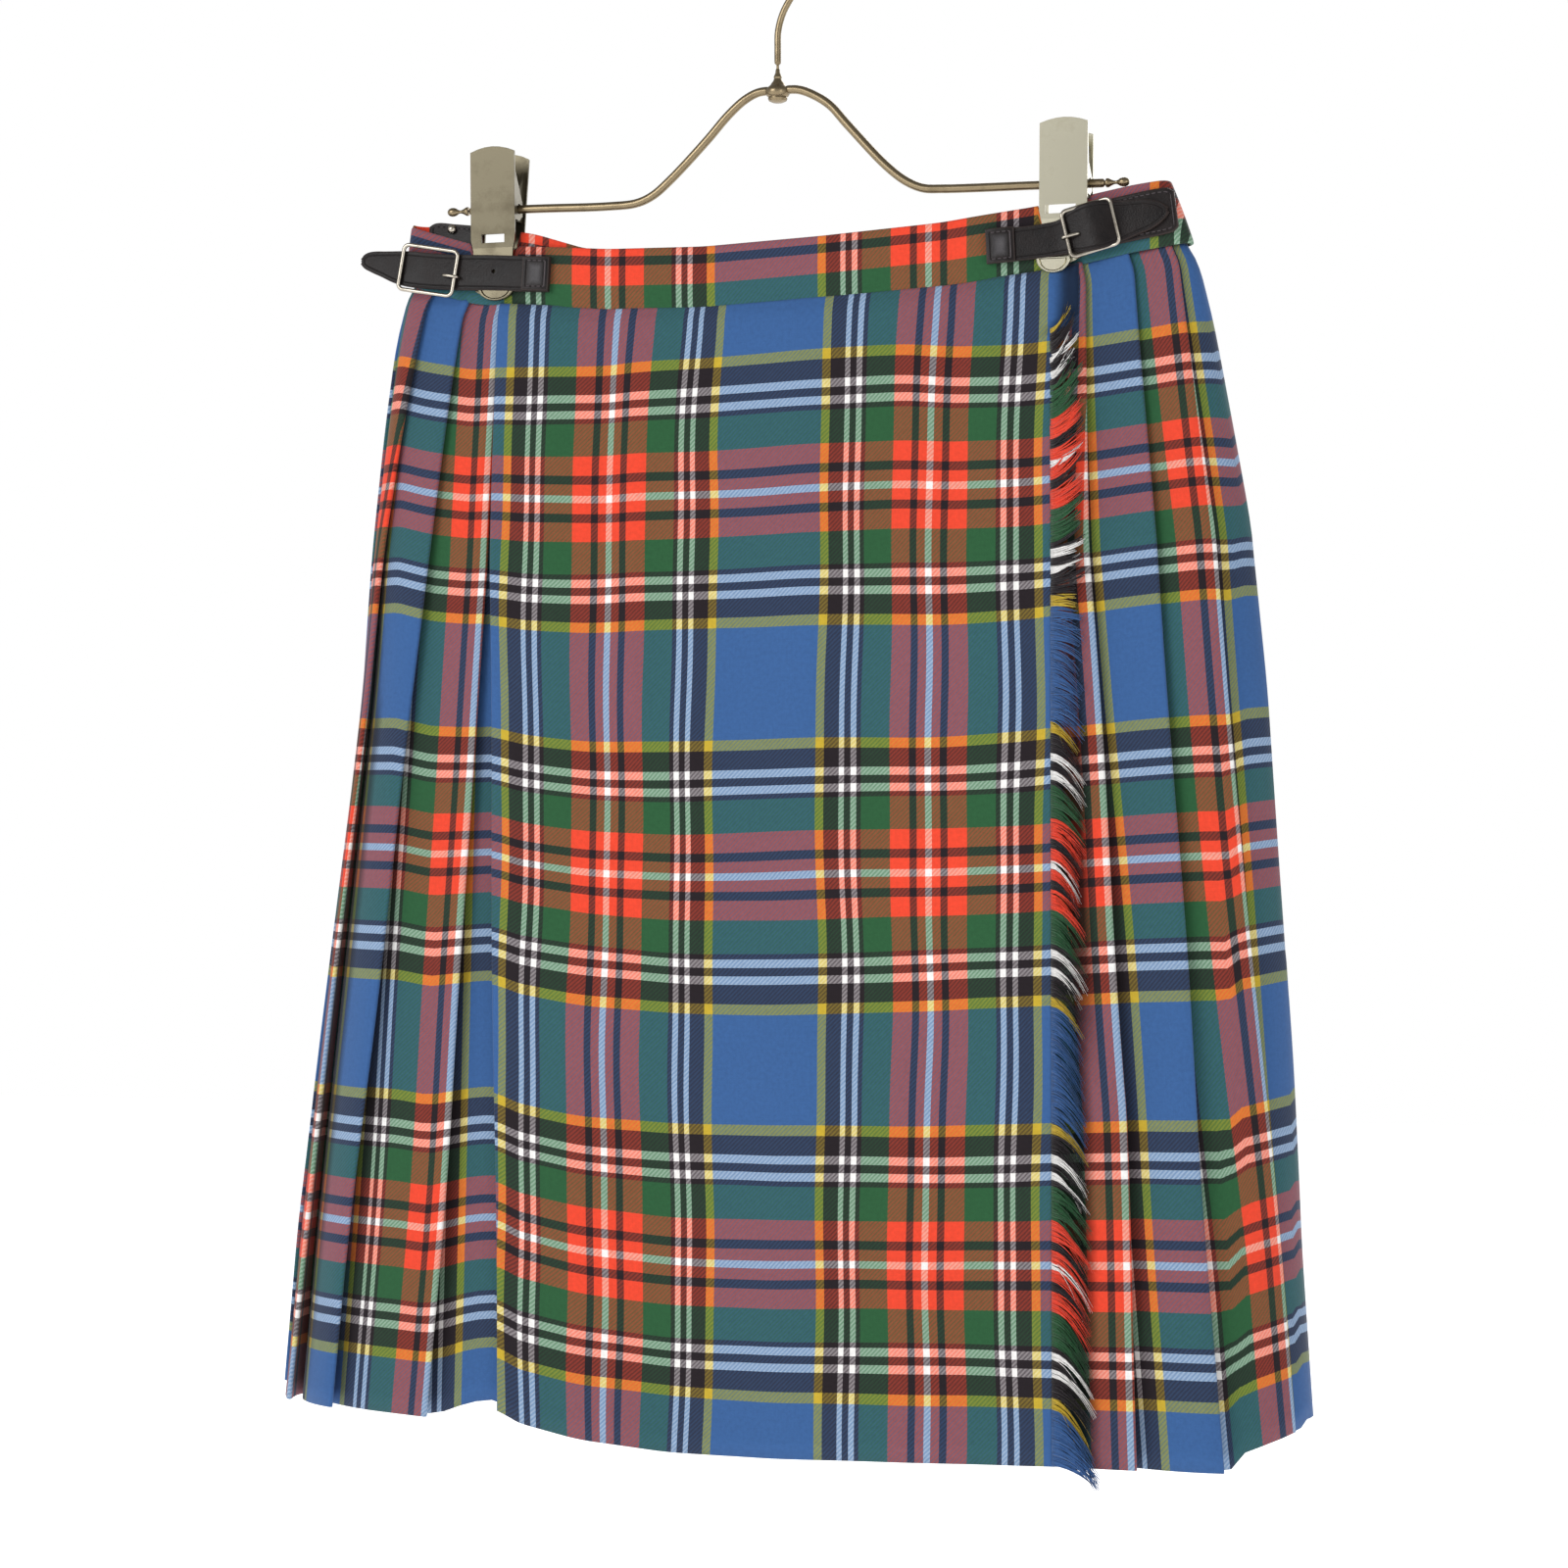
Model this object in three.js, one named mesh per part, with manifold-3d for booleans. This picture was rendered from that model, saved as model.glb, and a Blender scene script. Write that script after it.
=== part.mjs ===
// Kilt-style wrap skirt, knife-pleated all round but for its flat aprons, held by a wire clip hanger.
// Millimetres, +Z up, +X to the right as seen from the front, -Y to the front.
// The origin is the underside of the hook's top, where the hanger rests on a rail.
import * as THREE from 'three';
import { mergeVertices } from 'three/addons/utils/BufferGeometryUtils.js';
import Module from 'manifold-3d';

const wasm = await Module();
wasm.setup();

// ---------------------------------------------------------------- driving dimensions
const CLOTH = 1.0;              // wool twill wall
const SEAM_GAP = 0.3;           // between pieces that are sewn together
const BAND_HEIGHT = 27;
const BAND_WALL = 1.6;
const STRAP_WIDTH = 18;
const STRAP_WALL = 2.0;
const PLEATS = 25;              // knife pleats, all turned the same way round
const REST_HEIGHT = 446;        // hook's rest point above the skirt's own zero height
const REST_X = -2;

// Sections of the skirt from the waist seam down to the hem: how far each reaches to the left, right,
// front and back, how thick the stack of pleats is, and how deep one pleat is folded under.
const SECTIONS = [
  { z: 255.5, left: 187, right: 190, front: -4, back: 9, stack: 4.6, fold: 12.5 },
  { z: 230, left: 194, right: 196, front: -7, back: 17, stack: 5.6, fold: 15 },
  { z: 190, left: 201, right: 202.5, front: -9.5, back: 28, stack: 6.8, fold: 17 },
  { z: 130, left: 210, right: 213, front: -12.5, back: 41, stack: 8.0, fold: 18 },
  { z: 60, left: 218, right: 220.5, front: -14, back: 53, stack: 9.2, fold: 19 },
  { z: -20, left: 230.5, right: 224, front: -15, back: 65, stack: 10.2, fold: 20 },
  { z: -105, left: 243.5, right: 228.5, front: -16, back: 77, stack: 11.2, fold: 20.5 },
  { z: -190, left: 256, right: 231, front: -17, back: 87, stack: 12.2, fold: 21 },
  { z: -269.5, left: 265, right: 236, front: -18, back: 94, stack: 13, fold: 21 },
];
const WAIST_Z = SECTIONS[0].z;
const HEM_Z = SECTIONS[SECTIONS.length - 1].z;
const HIP_Z = 129;              // where the edges' middle widths below are given
const END_STRETCH = 0.25;       // how much longer than round the ring's ends are at the hem

// Edges that run down the front, by their X at the seam, the hip and the hem.
const EDGES = {
  apronLeft: { seam: -137.5, hip: -138.5, hem: -132.5 },
  apronRight: { seam: 128.5, hip: 130.5, hem: 132.5 },
  tuck: { seam: -119, hip: -119, hem: -112 },
  underLeft: { seam: -146, hip: -148, hem: -150 },
  underRight: { seam: 104, hip: 104, hem: 104 },
};
// Fold edges of the pleats that show on the front. Those between turn evenly round the back.
const RIGHT_FOLDS = [
  { seam: 144.5, hip: 148, hem: 170 },
  { seam: 163.5, hip: 175.5, hem: 208 },
  { seam: 183, hip: 202, hem: 232.5 },
];
const LEFT_FOLDS = [
  { seam: -174, hip: -195, hem: -248 },
  { seam: -156, hip: -171.5, hem: -220 },
  { seam: -138, hip: -141, hem: -169 },
];

// How much higher than at the centre the cloth hangs, by X.
const WAIST_RISE = [[-187, 18], [-176, 14], [-151, 6.5], [-120, 4.1], [-84, 1.1], [-37, 0], [19, 2.1],
  [76, 5.3], [121, 10.8], [163, 17.5], [198, 21]];
const BACK_WAIST_RISE = [[-187, 18], [-176, 17.5], [-158, 16.5], [-123, 11], [-95, 2], [-37, 0], [19, 2.1],
  [76, 5.3], [121, 10.8], [163, 17.5], [198, 21]];
const SEAM_RISE = [[-187, 18], [-176, 14], [-151, 6.5], [-120, 4.1], [-84, 1.1], [-37, 0], [19, 2],
  [76, 4.5], [121, 8.5], [163, 15.5], [198, 20]];
const APRON_HEM_RISE = [[-133, 18], [-128, 12.5], [-112, 8.5], [-92, 4.5], [-50, 0.5], [0, 0], [133, 2.5]];
const FRONT_HEM_RISE = [[-265, 19], [-250, 13], [-220, 13], [-169, 11], [-150, 18], [-137, 20], [-100, 8],
  [0, 3], [170, 2], [208, 1], [210, 8], [232, 16.5], [236, 20]];
const BACK_HEM_RISE = [[-265, 19], [-180, 13], [0, 8], [160, 13], [236, 20]];

// Levels outside the ring of fold edges.
const UNDER_EDGE = { deep: 4.3, ofStack: 0.45 };  // the under apron's free edge lies behind the last pleat
const TUCK_LEVEL = -0.4;
const RETURN_LEVEL = 1.5;
const APRON_LEVEL = 2.9;

const FRINGE_STRANDS = 125;
const FRINGE_LENGTH = 18;
const FRINGE_DROOP = 15;
const FRINGE_TOP_Z = 246;
const FRINGE_STRIP = 3;
const STRAND_RADIUS = 0.75;

const WIRE_RADIUS = 2;
const HOOK_WIRE_RADIUS = 1.5;
const HOOK_RADIUS = 22.5;       // to the middle of its wire
const CLIP_WIDTH = 22;
const CLIP_SHEET = 1.2;
const CLIPS = [{ name: 'clip_left', x: -141, bar: 305.3, bottom: 263.5 },
  { name: 'clip_right', x: 132.5, bar: 303, bottom: 266.5 }];
const CLIP_KNEE = 287;          // above it the plate leans out
const CLIP_TOP = 334;
const CLIP_LEAN = 7.5;          // how far out the top stands from the jaw
const PINCH = 3.6;              // half the distance between the bands where a clip holds them
const PINCH_REACH = 32;         // how far beside the clip the band is open again

// ---------------------------------------------------------------- colours
const finish = (color, roughness, metalness) => new THREE.MeshStandardMaterial({ color, roughness, metalness });
const TARTAN = finish('#4a6c8c', 0.9, 0);
const TARTAN_UNDER = finish('#3d5c6e', 0.9, 0);
const FRINGE_WOOL = finish('#a8493a', 0.95, 0);
const LEATHER = finish('#241c1a', 0.5, 0);
const NICKEL = finish('#a79e8c', 0.3, 1);
const BRASS = finish('#8d8062', 0.4, 1);
const ANTIQUE = finish('#7a6a4a', 0.4, 1);

// ---------------------------------------------------------------- numbers
const mix = (a, b, t) => a + (b - a) * t;
const clamp01 = (t) => Math.min(1, Math.max(0, t));
const smooth = (t) => clamp01(t) ** 2 * (3 - 2 * clamp01(t));

/** Straight interpolation in a table of [x, value] rows. */
function lookUp(table, x) {
  if (x <= table[0][0]) return table[0][1];
  for (let i = 1; i < table.length; i += 1) {
    const [x0, v0] = table[i - 1];
    const [x1, v1] = table[i];
    if (x <= x1) return mix(v0, v1, (x - x0) / (x1 - x0));
  }
  return table[table.length - 1][1];
}

/** An edge's X at a height, through its widths at seam, hip and hem. */
function edgeX(edge, z) {
  return z > HIP_Z
    ? mix(edge.hip, edge.seam, (z - HIP_Z) / (WAIST_Z - HIP_Z))
    : mix(edge.hip, edge.hem, (HIP_Z - z) / (HIP_Z - HEM_Z));
}

/** Height of a point that lies on the section at z, with the waist's and the hem's own curves. */
function hang(z, x, hemRise) {
  const down = (WAIST_Z - z) / (WAIST_Z - HEM_Z);
  return z + mix(lookUp(SEAM_RISE, x), lookUp(hemRise, x), down);
}

// ---------------------------------------------------------------- the ring that the fold edges lie on
const RING_SAMPLES = 720;

/** A flat oval with half-elliptic ends, run through anticlockwise from its front middle. */
class Ring {
  constructor({ left, right, front, back, stretch = 0, pinch = null }) {
    this.middle = (front + back) / 2;
    const half = (back - front) / 2;
    const end = half * (1 + stretch);
    this.points = [];
    const run = right + left - 2 * end;
    const arc = Math.PI * (half + end) / 2;
    const total = 2 * run + 2 * arc;
    const startX = (right - left) / 2;
    for (let i = 0; i <= RING_SAMPLES; i += 1) {
      let s = (total * i) / RING_SAMPLES;
      let x;
      let y;
      if (s < run / 2) {
        [x, y] = [startX + s, -half];
      } else if (s < run / 2 + arc) {
        const turn = (Math.PI * (s - run / 2)) / arc;
        [x, y] = [right - end + end * Math.sin(turn), -half * Math.cos(turn)];
      } else if (s < 1.5 * run + arc) {
        [x, y] = [right - end - (s - run / 2 - arc), half];
      } else if (s < 1.5 * run + 2 * arc) {
        const turn = (Math.PI * (s - 1.5 * run - arc)) / arc;
        [x, y] = [-left + end - end * Math.sin(turn), half * Math.cos(turn)];
      } else {
        s -= 1.5 * run + 2 * arc;
        [x, y] = [-left + end + s, -half];
      }
      if (pinch) y *= pinch(x);
      this.points.push(new THREE.Vector2(x, this.middle + y));
    }
    this.at = [0];
    for (let i = 1; i <= RING_SAMPLES; i += 1) {
      this.at.push(this.at[i - 1] + this.points[i].distanceTo(this.points[i - 1]));
    }
    this.length = this.at[RING_SAMPLES];
  }

  /** The point at distance s round the ring, moved out by level. */
  place(s, level = 0) {
    const d = ((s % this.length) + this.length) % this.length;
    let i = 1;
    while (i < RING_SAMPLES && this.at[i] < d) i += 1;
    const t = (d - this.at[i - 1]) / (this.at[i] - this.at[i - 1]);
    const point = this.points[i - 1].clone().lerp(this.points[i], t);
    const wrap = (k) => this.points[(k + RING_SAMPLES) % RING_SAMPLES];
    const before = wrap(i - 3);
    const after = wrap(i + 2);
    const along = after.clone().sub(before).normalize();
    return point.add(new THREE.Vector2(along.y, -along.x).multiplyScalar(level));
  }

  /** Distance round the ring to the front point at x; left of the middle counts from the far end. */
  atFrontX(x, leftSide = false) {
    let best = 0;
    let gap = Infinity;
    const half = RING_SAMPLES / 2;
    for (let i = leftSide ? half : 0; i <= (leftSide ? RING_SAMPLES : half); i += 1) {
      const miss = Math.abs(this.points[i].x - x);
      if (this.points[i].y <= this.middle && miss < gap) [best, gap] = [this.at[i], miss];
    }
    return best;
  }
}

// ---------------------------------------------------------------- walls of cloth
function solid(positions, index) {
  let volume = 0;
  for (let i = 0; i < index.length; i += 3) {
    const [a, b, c] = [0, 1, 2].map((k) => new THREE.Vector3().fromArray(positions, 3 * index[i + k]));
    volume += a.dot(b.cross(c));
  }
  const facing = volume > 0 ? index : index.slice().reverse();
  const geometry = new THREE.BufferGeometry();
  geometry.setAttribute('position', new THREE.Float32BufferAttribute(positions, 3));
  geometry.setIndex(facing);
  return geometry;
}

/** A closed wall between two grids of points that have the same rows and columns. */
function wall(outer, inner) {
  const rows = outer.length;
  const columns = outer[0].length;
  const index = [];
  const at = (side, row, column) => (side * rows + row) * columns + column;
  const quad = (a, b, c, d) => index.push(a, b, c, a, c, d);
  for (let row = 0; row < rows - 1; row += 1) {
    for (let column = 0; column < columns - 1; column += 1) {
      quad(at(0, row, column), at(0, row + 1, column), at(0, row + 1, column + 1), at(0, row, column + 1));
      // The inner side repeats the outer side's diagonals, turned round.
      index.push(at(1, row, column), at(1, row + 1, column + 1), at(1, row + 1, column));
      index.push(at(1, row, column), at(1, row, column + 1), at(1, row + 1, column + 1));
    }
  }
  for (let row = 0; row < rows - 1; row += 1) {
    const end = columns - 1;
    quad(at(1, row, 0), at(1, row + 1, 0), at(0, row + 1, 0), at(0, row, 0));
    quad(at(0, row, end), at(0, row + 1, end), at(1, row + 1, end), at(1, row, end));
  }
  for (let column = 0; column < columns - 1; column += 1) {
    const end = rows - 1;
    quad(at(0, 0, column), at(0, 0, column + 1), at(1, 0, column + 1), at(1, 0, column));
    quad(at(1, end, column), at(1, end, column + 1), at(0, end, column + 1), at(0, end, column));
  }
  const positions = [...outer.flat(), ...inner.flat()].flatMap((p) => [p.x, p.y, p.z]);
  return solid(positions, index);
}

/** Offsets a line of Vector2 to its right by distance, with mitred corners. */
function offset(line, distance) {
  return line.map((point, i) => {
    const before = i > 0 ? point.clone().sub(line[i - 1]).normalize() : null;
    const after = i < line.length - 1 ? line[i + 1].clone().sub(point).normalize() : null;
    const a = before ?? after;
    const b = after ?? before;
    const normal = new THREE.Vector2(a.y + b.y, -a.x - b.x).normalize();
    const reach = Math.max(0.45, normal.dot(new THREE.Vector2(a.y, -a.x)));
    return point.clone().add(normal.multiplyScalar(distance / reach));
  });
}

/** Cloth between sections: lineAt(z) gives its middle line in plan, heightAt(z, point, i) its heights. */
function cloth(levels, lineAt, heightAt, thickness = CLOTH) {
  const outer = [];
  const inner = [];
  for (const z of levels) {
    const line = lineAt(z);
    const raise = (side) => side.map((p, i) => new THREE.Vector3(p.x, p.y, heightAt(z, line[i], i)));
    outer.push(raise(offset(line, thickness / 2)));
    inner.push(raise(offset(line, -thickness / 2)));
  }
  return wall(outer, inner);
}

const sectionAt = (z) => {
  const lower = SECTIONS.findIndex((row, i) => i > 0 && z >= row.z);
  const i = lower < 0 ? SECTIONS.length - 1 : lower;
  const [a, b] = [SECTIONS[i - 1], SECTIONS[i]];
  const t = (a.z - z) / (a.z - b.z);
  const row = {};
  for (const key of Object.keys(a)) row[key] = mix(a[key], b[key], t);
  row.stretch = END_STRETCH * (WAIST_Z - z) / (WAIST_Z - HEM_Z);
  return row;
};
const SEAM_Z = WAIST_Z - SEAM_GAP;
const LEVELS = [SEAM_Z, ...SECTIONS.slice(1).map((row) => row.z)];

// ---------------------------------------------------------------- the pleated length
/** Where each fold edge lies round the ring, from the first on the right to the last on the left. */
function foldsRound(ring, z) {
  const right = RIGHT_FOLDS.map((edge) => ring.atFrontX(edgeX(edge, z)));
  const left = LEFT_FOLDS.map((edge) => ring.atFrontX(edgeX(edge, z), true));
  const between = PLEATS - right.length - left.length;
  const from = right[right.length - 1];
  const to = left[0];
  const turning = Array.from({ length: between }, (_, i) => mix(from, to, (i + 1) / (between + 1)));
  return [...right, ...turning, ...left];
}

/** The middle line of the pleated length in (distance round, level), with the fold that each point is on. */
function pleatLine(z) {
  const row = sectionAt(z);
  const ring = new Ring(row);
  const folds = foldsRound(ring, z);
  const start = ring.atFrontX(edgeX(EDGES.underRight, z)) + SEAM_GAP;
  const end = ring.atFrontX(edgeX(EDGES.tuck, z), true);
  const points = [];
  const add = (s, level, fold) => points.push({ s, level, fold });
  // Each face rises from the inner fold under its neighbour to its own fold edge.
  const face = (k) => {
    if (k === 0) return { from: start, to: folds[0], low: 0, high: 0 };
    const from = folds[k - 1] - row.fold;
    if (k === PLEATS) return { from, to: end, low: -row.stack, high: TUCK_LEVEL };
    return { from, to: folds[k], low: -row.stack, high: 0 };
  };
  const levelOn = (f, s) => mix(f.low, f.high, clamp01((s - f.from) / (f.to - f.from)));
  for (let k = 0; k <= PLEATS; k += 1) {
    const f = face(k);
    for (const t of [0, 1 / 3, 2 / 3, 1]) add(mix(f.from, f.to, t), mix(f.low, f.high, t), k);
    if (k < PLEATS) {
      const next = face(k + 1);
      const between = (s) => (levelOn(f, s) + levelOn(next, s)) / 2;
      for (const t of [0, 0.5, 1]) {
        const s = folds[k] - row.fold * t;
        add(s, between(s), k + 0.5);
      }
    }
  }
  return { ring, points };
}
const FACE_POINTS = 4;
const RETURN_POINTS = 3;
const pointOfFace = (k) => k * (FACE_POINTS + RETURN_POINTS);

/** The pleats from face first to face last; where it is cut, the cut runs down the middle of a face. */
function pleats(first, last) {
  const lines = new Map();
  const lineAt = (z) => {
    const { ring, points } = pleatLine(z);
    const picked = points.slice(pointOfFace(first), pointOfFace(last) + FACE_POINTS);
    if (first > 0) {
      // Only the half towards the fold edge belongs to this piece.
      const cut = picked[1];
      picked.splice(0, 2, { ...cut, s: mix(cut.s, picked[2].s, 0.5) + SEAM_GAP / 2,
        level: mix(cut.level, picked[2].level, 0.5) });
    }
    if (last < PLEATS) {
      const n = picked.length;
      const [a, b] = [picked[n - 3], picked[n - 2]];
      picked.splice(n - 2, 2, { ...a, s: mix(a.s, b.s, 0.5) - SEAM_GAP / 2, level: mix(a.level, b.level, 0.5) });
    }
    lines.set(z, { ring, picked });
    return picked.map((p) => ring.place(p.s, p.level));
  };
  const heightAt = (z, point) => {
    const { ring } = lines.get(z);
    return hang(z, point.x, point.y > ring.middle ? BACK_HEM_RISE : FRONT_HEM_RISE);
  };
  return cloth(LEVELS, lineAt, heightAt);
}

// ---------------------------------------------------------------- the flat aprons
const APRON_COLUMNS = 12;
const DIVE_FROM = -60;

function overApron() {
  const lineAt = (z) => {
    const ring = new Ring(sectionAt(z));
    const leftEdge = ring.atFrontX(edgeX(EDGES.apronLeft, z), true) - ring.length;
    const tuck = ring.atFrontX(edgeX(EDGES.tuck, z), true) - ring.length;
    const rightEdge = ring.atFrontX(edgeX(EDGES.apronRight, z));
    const line = [tuck, mix(tuck, leftEdge, 0.5), leftEdge].map((s) => ring.place(s, RETURN_LEVEL));
    for (let i = 0; i <= APRON_COLUMNS; i += 1) {
      line.push(ring.place(mix(leftEdge, rightEdge, i / APRON_COLUMNS), APRON_LEVEL));
    }
    return line;
  };
  return cloth(LEVELS, lineAt, (z, p) => hang(z, p.x, APRON_HEM_RISE));
}

function underApron() {
  const dive = (x, z) => -(UNDER_EDGE.deep + UNDER_EDGE.ofStack * sectionAt(z).stack)
    * clamp01((DIVE_FROM - x) / (DIVE_FROM - edgeX(EDGES.underLeft, z)));
  const lineAt = (z) => {
    const ring = new Ring(sectionAt(z));
    const from = edgeX(EDGES.underLeft, z);
    const to = edgeX(EDGES.underRight, z);
    const line = [];
    for (let i = 0; i <= APRON_COLUMNS; i += 1) {
      const x = mix(from, to, i / APRON_COLUMNS);
      const s = ring.atFrontX(x, x < (ring.points[0].x));
      line.push(ring.place(s, dive(x, z)));
    }
    return line;
  };
  return cloth(LEVELS, lineAt, (z, p) => hang(z, p.x, FRONT_HEM_RISE));
}

// ---------------------------------------------------------------- joining and cutting
function toManifold(geometry) {
  const bare = geometry.clone();
  for (const name of ['normal', 'uv']) bare.deleteAttribute(name);
  const merged = mergeVertices(bare, 1e-4);
  return new wasm.Manifold(new wasm.Mesh({
    numProp: 3,
    vertProperties: new Float32Array(merged.attributes.position.array),
    triVerts: new Uint32Array(merged.index.array),
  }));
}

function fromManifold(body) {
  const mesh = body.getMesh();
  const geometry = new THREE.BufferGeometry();
  geometry.setAttribute('position', new THREE.BufferAttribute(new Float32Array(mesh.vertProperties), 3));
  geometry.setIndex(new THREE.BufferAttribute(new Uint32Array(mesh.triVerts), 1));
  return geometry;
}

const join = (geometries) => fromManifold(geometries.map(toManifold).reduce((a, b) => a.add(b)));
const cut = (geometry, tools) => fromManifold(tools.map(toManifold)
  .reduce((a, b) => a.subtract(b), toManifold(geometry)));

// ---------------------------------------------------------------- fringe
/** One tapered three-sided lock from its root out to the right and down. */
function strand(root, reach, droop, forward) {
  const rings = [];
  for (const [t, radius] of [[0, STRAND_RADIUS], [0.5, STRAND_RADIUS], [1, STRAND_RADIUS * 0.45]]) {
    const middle = new THREE.Vector3(root.x + reach * t, root.y - forward * t, root.z - droop * t ** 1.6);
    rings.push([0, 1, 2].map((k) => {
      const turn = (Math.PI * 2 * k) / 3;
      return middle.clone().add(new THREE.Vector3(0, Math.cos(turn) * radius, Math.sin(turn) * radius));
    }));
  }
  const index = [0, 2, 1];
  for (let r = 0; r < rings.length - 1; r += 1) {
    for (let k = 0; k < 3; k += 1) {
      const [a, b] = [3 * r + k, 3 * r + ((k + 1) % 3)];
      index.push(a, b, b + 3, a, b + 3, a + 3);
    }
  }
  const last = 3 * (rings.length - 1);
  index.push(last, last + 1, last + 2);
  return solid(rings.flat().flatMap((p) => p.toArray()), index);
}

function fringe() {
  const edgeAt = (z, past) => {
    const ring = new Ring(sectionAt(z));
    return ring.place(ring.atFrontX(edgeX(EDGES.apronRight, z)) + past, APRON_LEVEL);
  };
  const strip = cloth(LEVELS, (z) => [edgeAt(z, SEAM_GAP), edgeAt(z, SEAM_GAP + FRINGE_STRIP)],
    (z, p) => hang(z, p.x, APRON_HEM_RISE));
  const pieces = [strip];
  for (let i = 0; i < FRINGE_STRANDS; i += 1) {
    const z = mix(FRINGE_TOP_Z - 2, HEM_Z + 2, i / (FRINGE_STRANDS - 1));
    const root = edgeAt(z, SEAM_GAP + FRINGE_STRIP / 2);
    const uneven = Math.sin(i * 2.4) * 0.5 + Math.sin(i * 0.7) * 0.5;
    const point = new THREE.Vector3(root.x, root.y, hang(z, root.x, APRON_HEM_RISE));
    const reach = FRINGE_LENGTH + 1.2 * uneven;
    const droop = Math.min(FRINGE_DROOP + Math.sin(i * 0.21), 9 + (point.z - HEM_Z));
    pieces.push(strand(point, reach, droop, 0.6 + 0.5 * Math.sin(i * 0.9)));
  }
  return join(pieces);
}

// ---------------------------------------------------------------- waistband
const BAND = { left: 186, right: 190, half: 5.5, lean: 9 };
const BAND_LEVELS = [0, 0.5, 1];
const BAND_UNDER = -3.6;        // the under stretch lies this far inside the front stretch
const BAND_EDGES = { front: 130, under: -151 };   // where the front and the under stretch end
const BAND_STEP = { from: 128, to: 148 };         // where the band steps inwards behind the front stretch
const BAND_COLUMNS = { front: 34, back: 40, under: 36 };

/** Half-depth of the band at x against its full half-depth: nearly closed where a clip holds it. */
function pinchAt(x) {
  const near = Math.max(...CLIPS.map((clip) => 1 - smooth((Math.abs(x - clip.x) - CLIP_WIDTH / 2) / PINCH_REACH)));
  return mix(1, PINCH / BAND.half, near);
}

function bandRing(v) {
  // The ends lean in towards the top, because the band bows upwards there.
  const { left, right, half, lean } = BAND;
  return new Ring({ left: left - 0.3 * lean * v, right: right - lean * v, front: -half, back: half,
    pinch: pinchAt });
}

/** A stretch of the band: stationsOn(ring) gives its distances round and levels, rise its top edge. */
function band(stationsOn, rise) {
  const side = (offsetOut) => BAND_LEVELS.map((v) => {
    const ring = bandRing(v);
    return stationsOn(ring).map(({ s, level }) => {
      const p = ring.place(s, level + offsetOut);
      const height = mix(lookUp(SEAM_RISE, p.x), BAND_HEIGHT + lookUp(rise, p.x), v);
      return new THREE.Vector3(p.x, p.y, WAIST_Z + height);
    });
  });
  return wall(side(BAND_WALL / 2), side(-BAND_WALL / 2));
}

const frontS = (ring, x) => {
  const leftSide = x < ring.points[0].x;
  return ring.atFrontX(x, leftSide) - (leftSide ? ring.length : 0);
};
const stretchOf = (from, to, count, place) => Array.from({ length: count + 1 },
  (_, i) => place(mix(from, to, i / count)));
const leftmost = (ring) => {
  const ends = ring.points.map((p, i) => [p.x, ring.at[i]]);
  return ends.reduce((a, b) => (b[0] < a[0] ? b : a))[1] - ring.length;
};
const rightmost = (ring) => {
  const ends = ring.points.map((p, i) => [p.x, ring.at[i]]);
  return ends.reduce((a, b) => (b[0] > a[0] ? b : a))[1];
};

const flush = (s) => ({ s, level: 0 });
const bandFront = () => band((ring) => stretchOf(leftmost(ring) + SEAM_GAP / 2, frontS(ring, BAND_EDGES.front),
  BAND_COLUMNS.front, flush),
  WAIST_RISE);
const bandBack = () => band((ring) => stretchOf(rightmost(ring) + SEAM_GAP / 2,
  leftmost(ring) + ring.length - SEAM_GAP / 2, BAND_COLUMNS.back, flush), BACK_WAIST_RISE);
const bandUnder = () => band((ring) => {
  const outside = frontS(ring, BAND_STEP.to);
  const inside = frontS(ring, BAND_STEP.from);
  const level = (s) => BAND_UNDER * smooth((outside - s) / (outside - inside));
  return stretchOf(frontS(ring, BAND_EDGES.under), rightmost(ring) - SEAM_GAP / 2, BAND_COLUMNS.under,
    (s) => ({ s, level: level(s) }));
}, BACK_WAIST_RISE);

// ---------------------------------------------------------------- leather straps, tab and chape
/** A flat leather piece along X: stations give x, y, the middle's z and half the width there. */
function leather(stations, thickness = STRAP_WALL) {
  const edge = (sign, side) => stations.map(({ x, y, z, half }) => new THREE.Vector3(x,
    y + side * thickness / 2, z + sign * half));
  const rows = (side) => [-1, 0, 1].map((sign) => edge(sign, side));
  return wall(rows(-1), rows(1));
}

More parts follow.
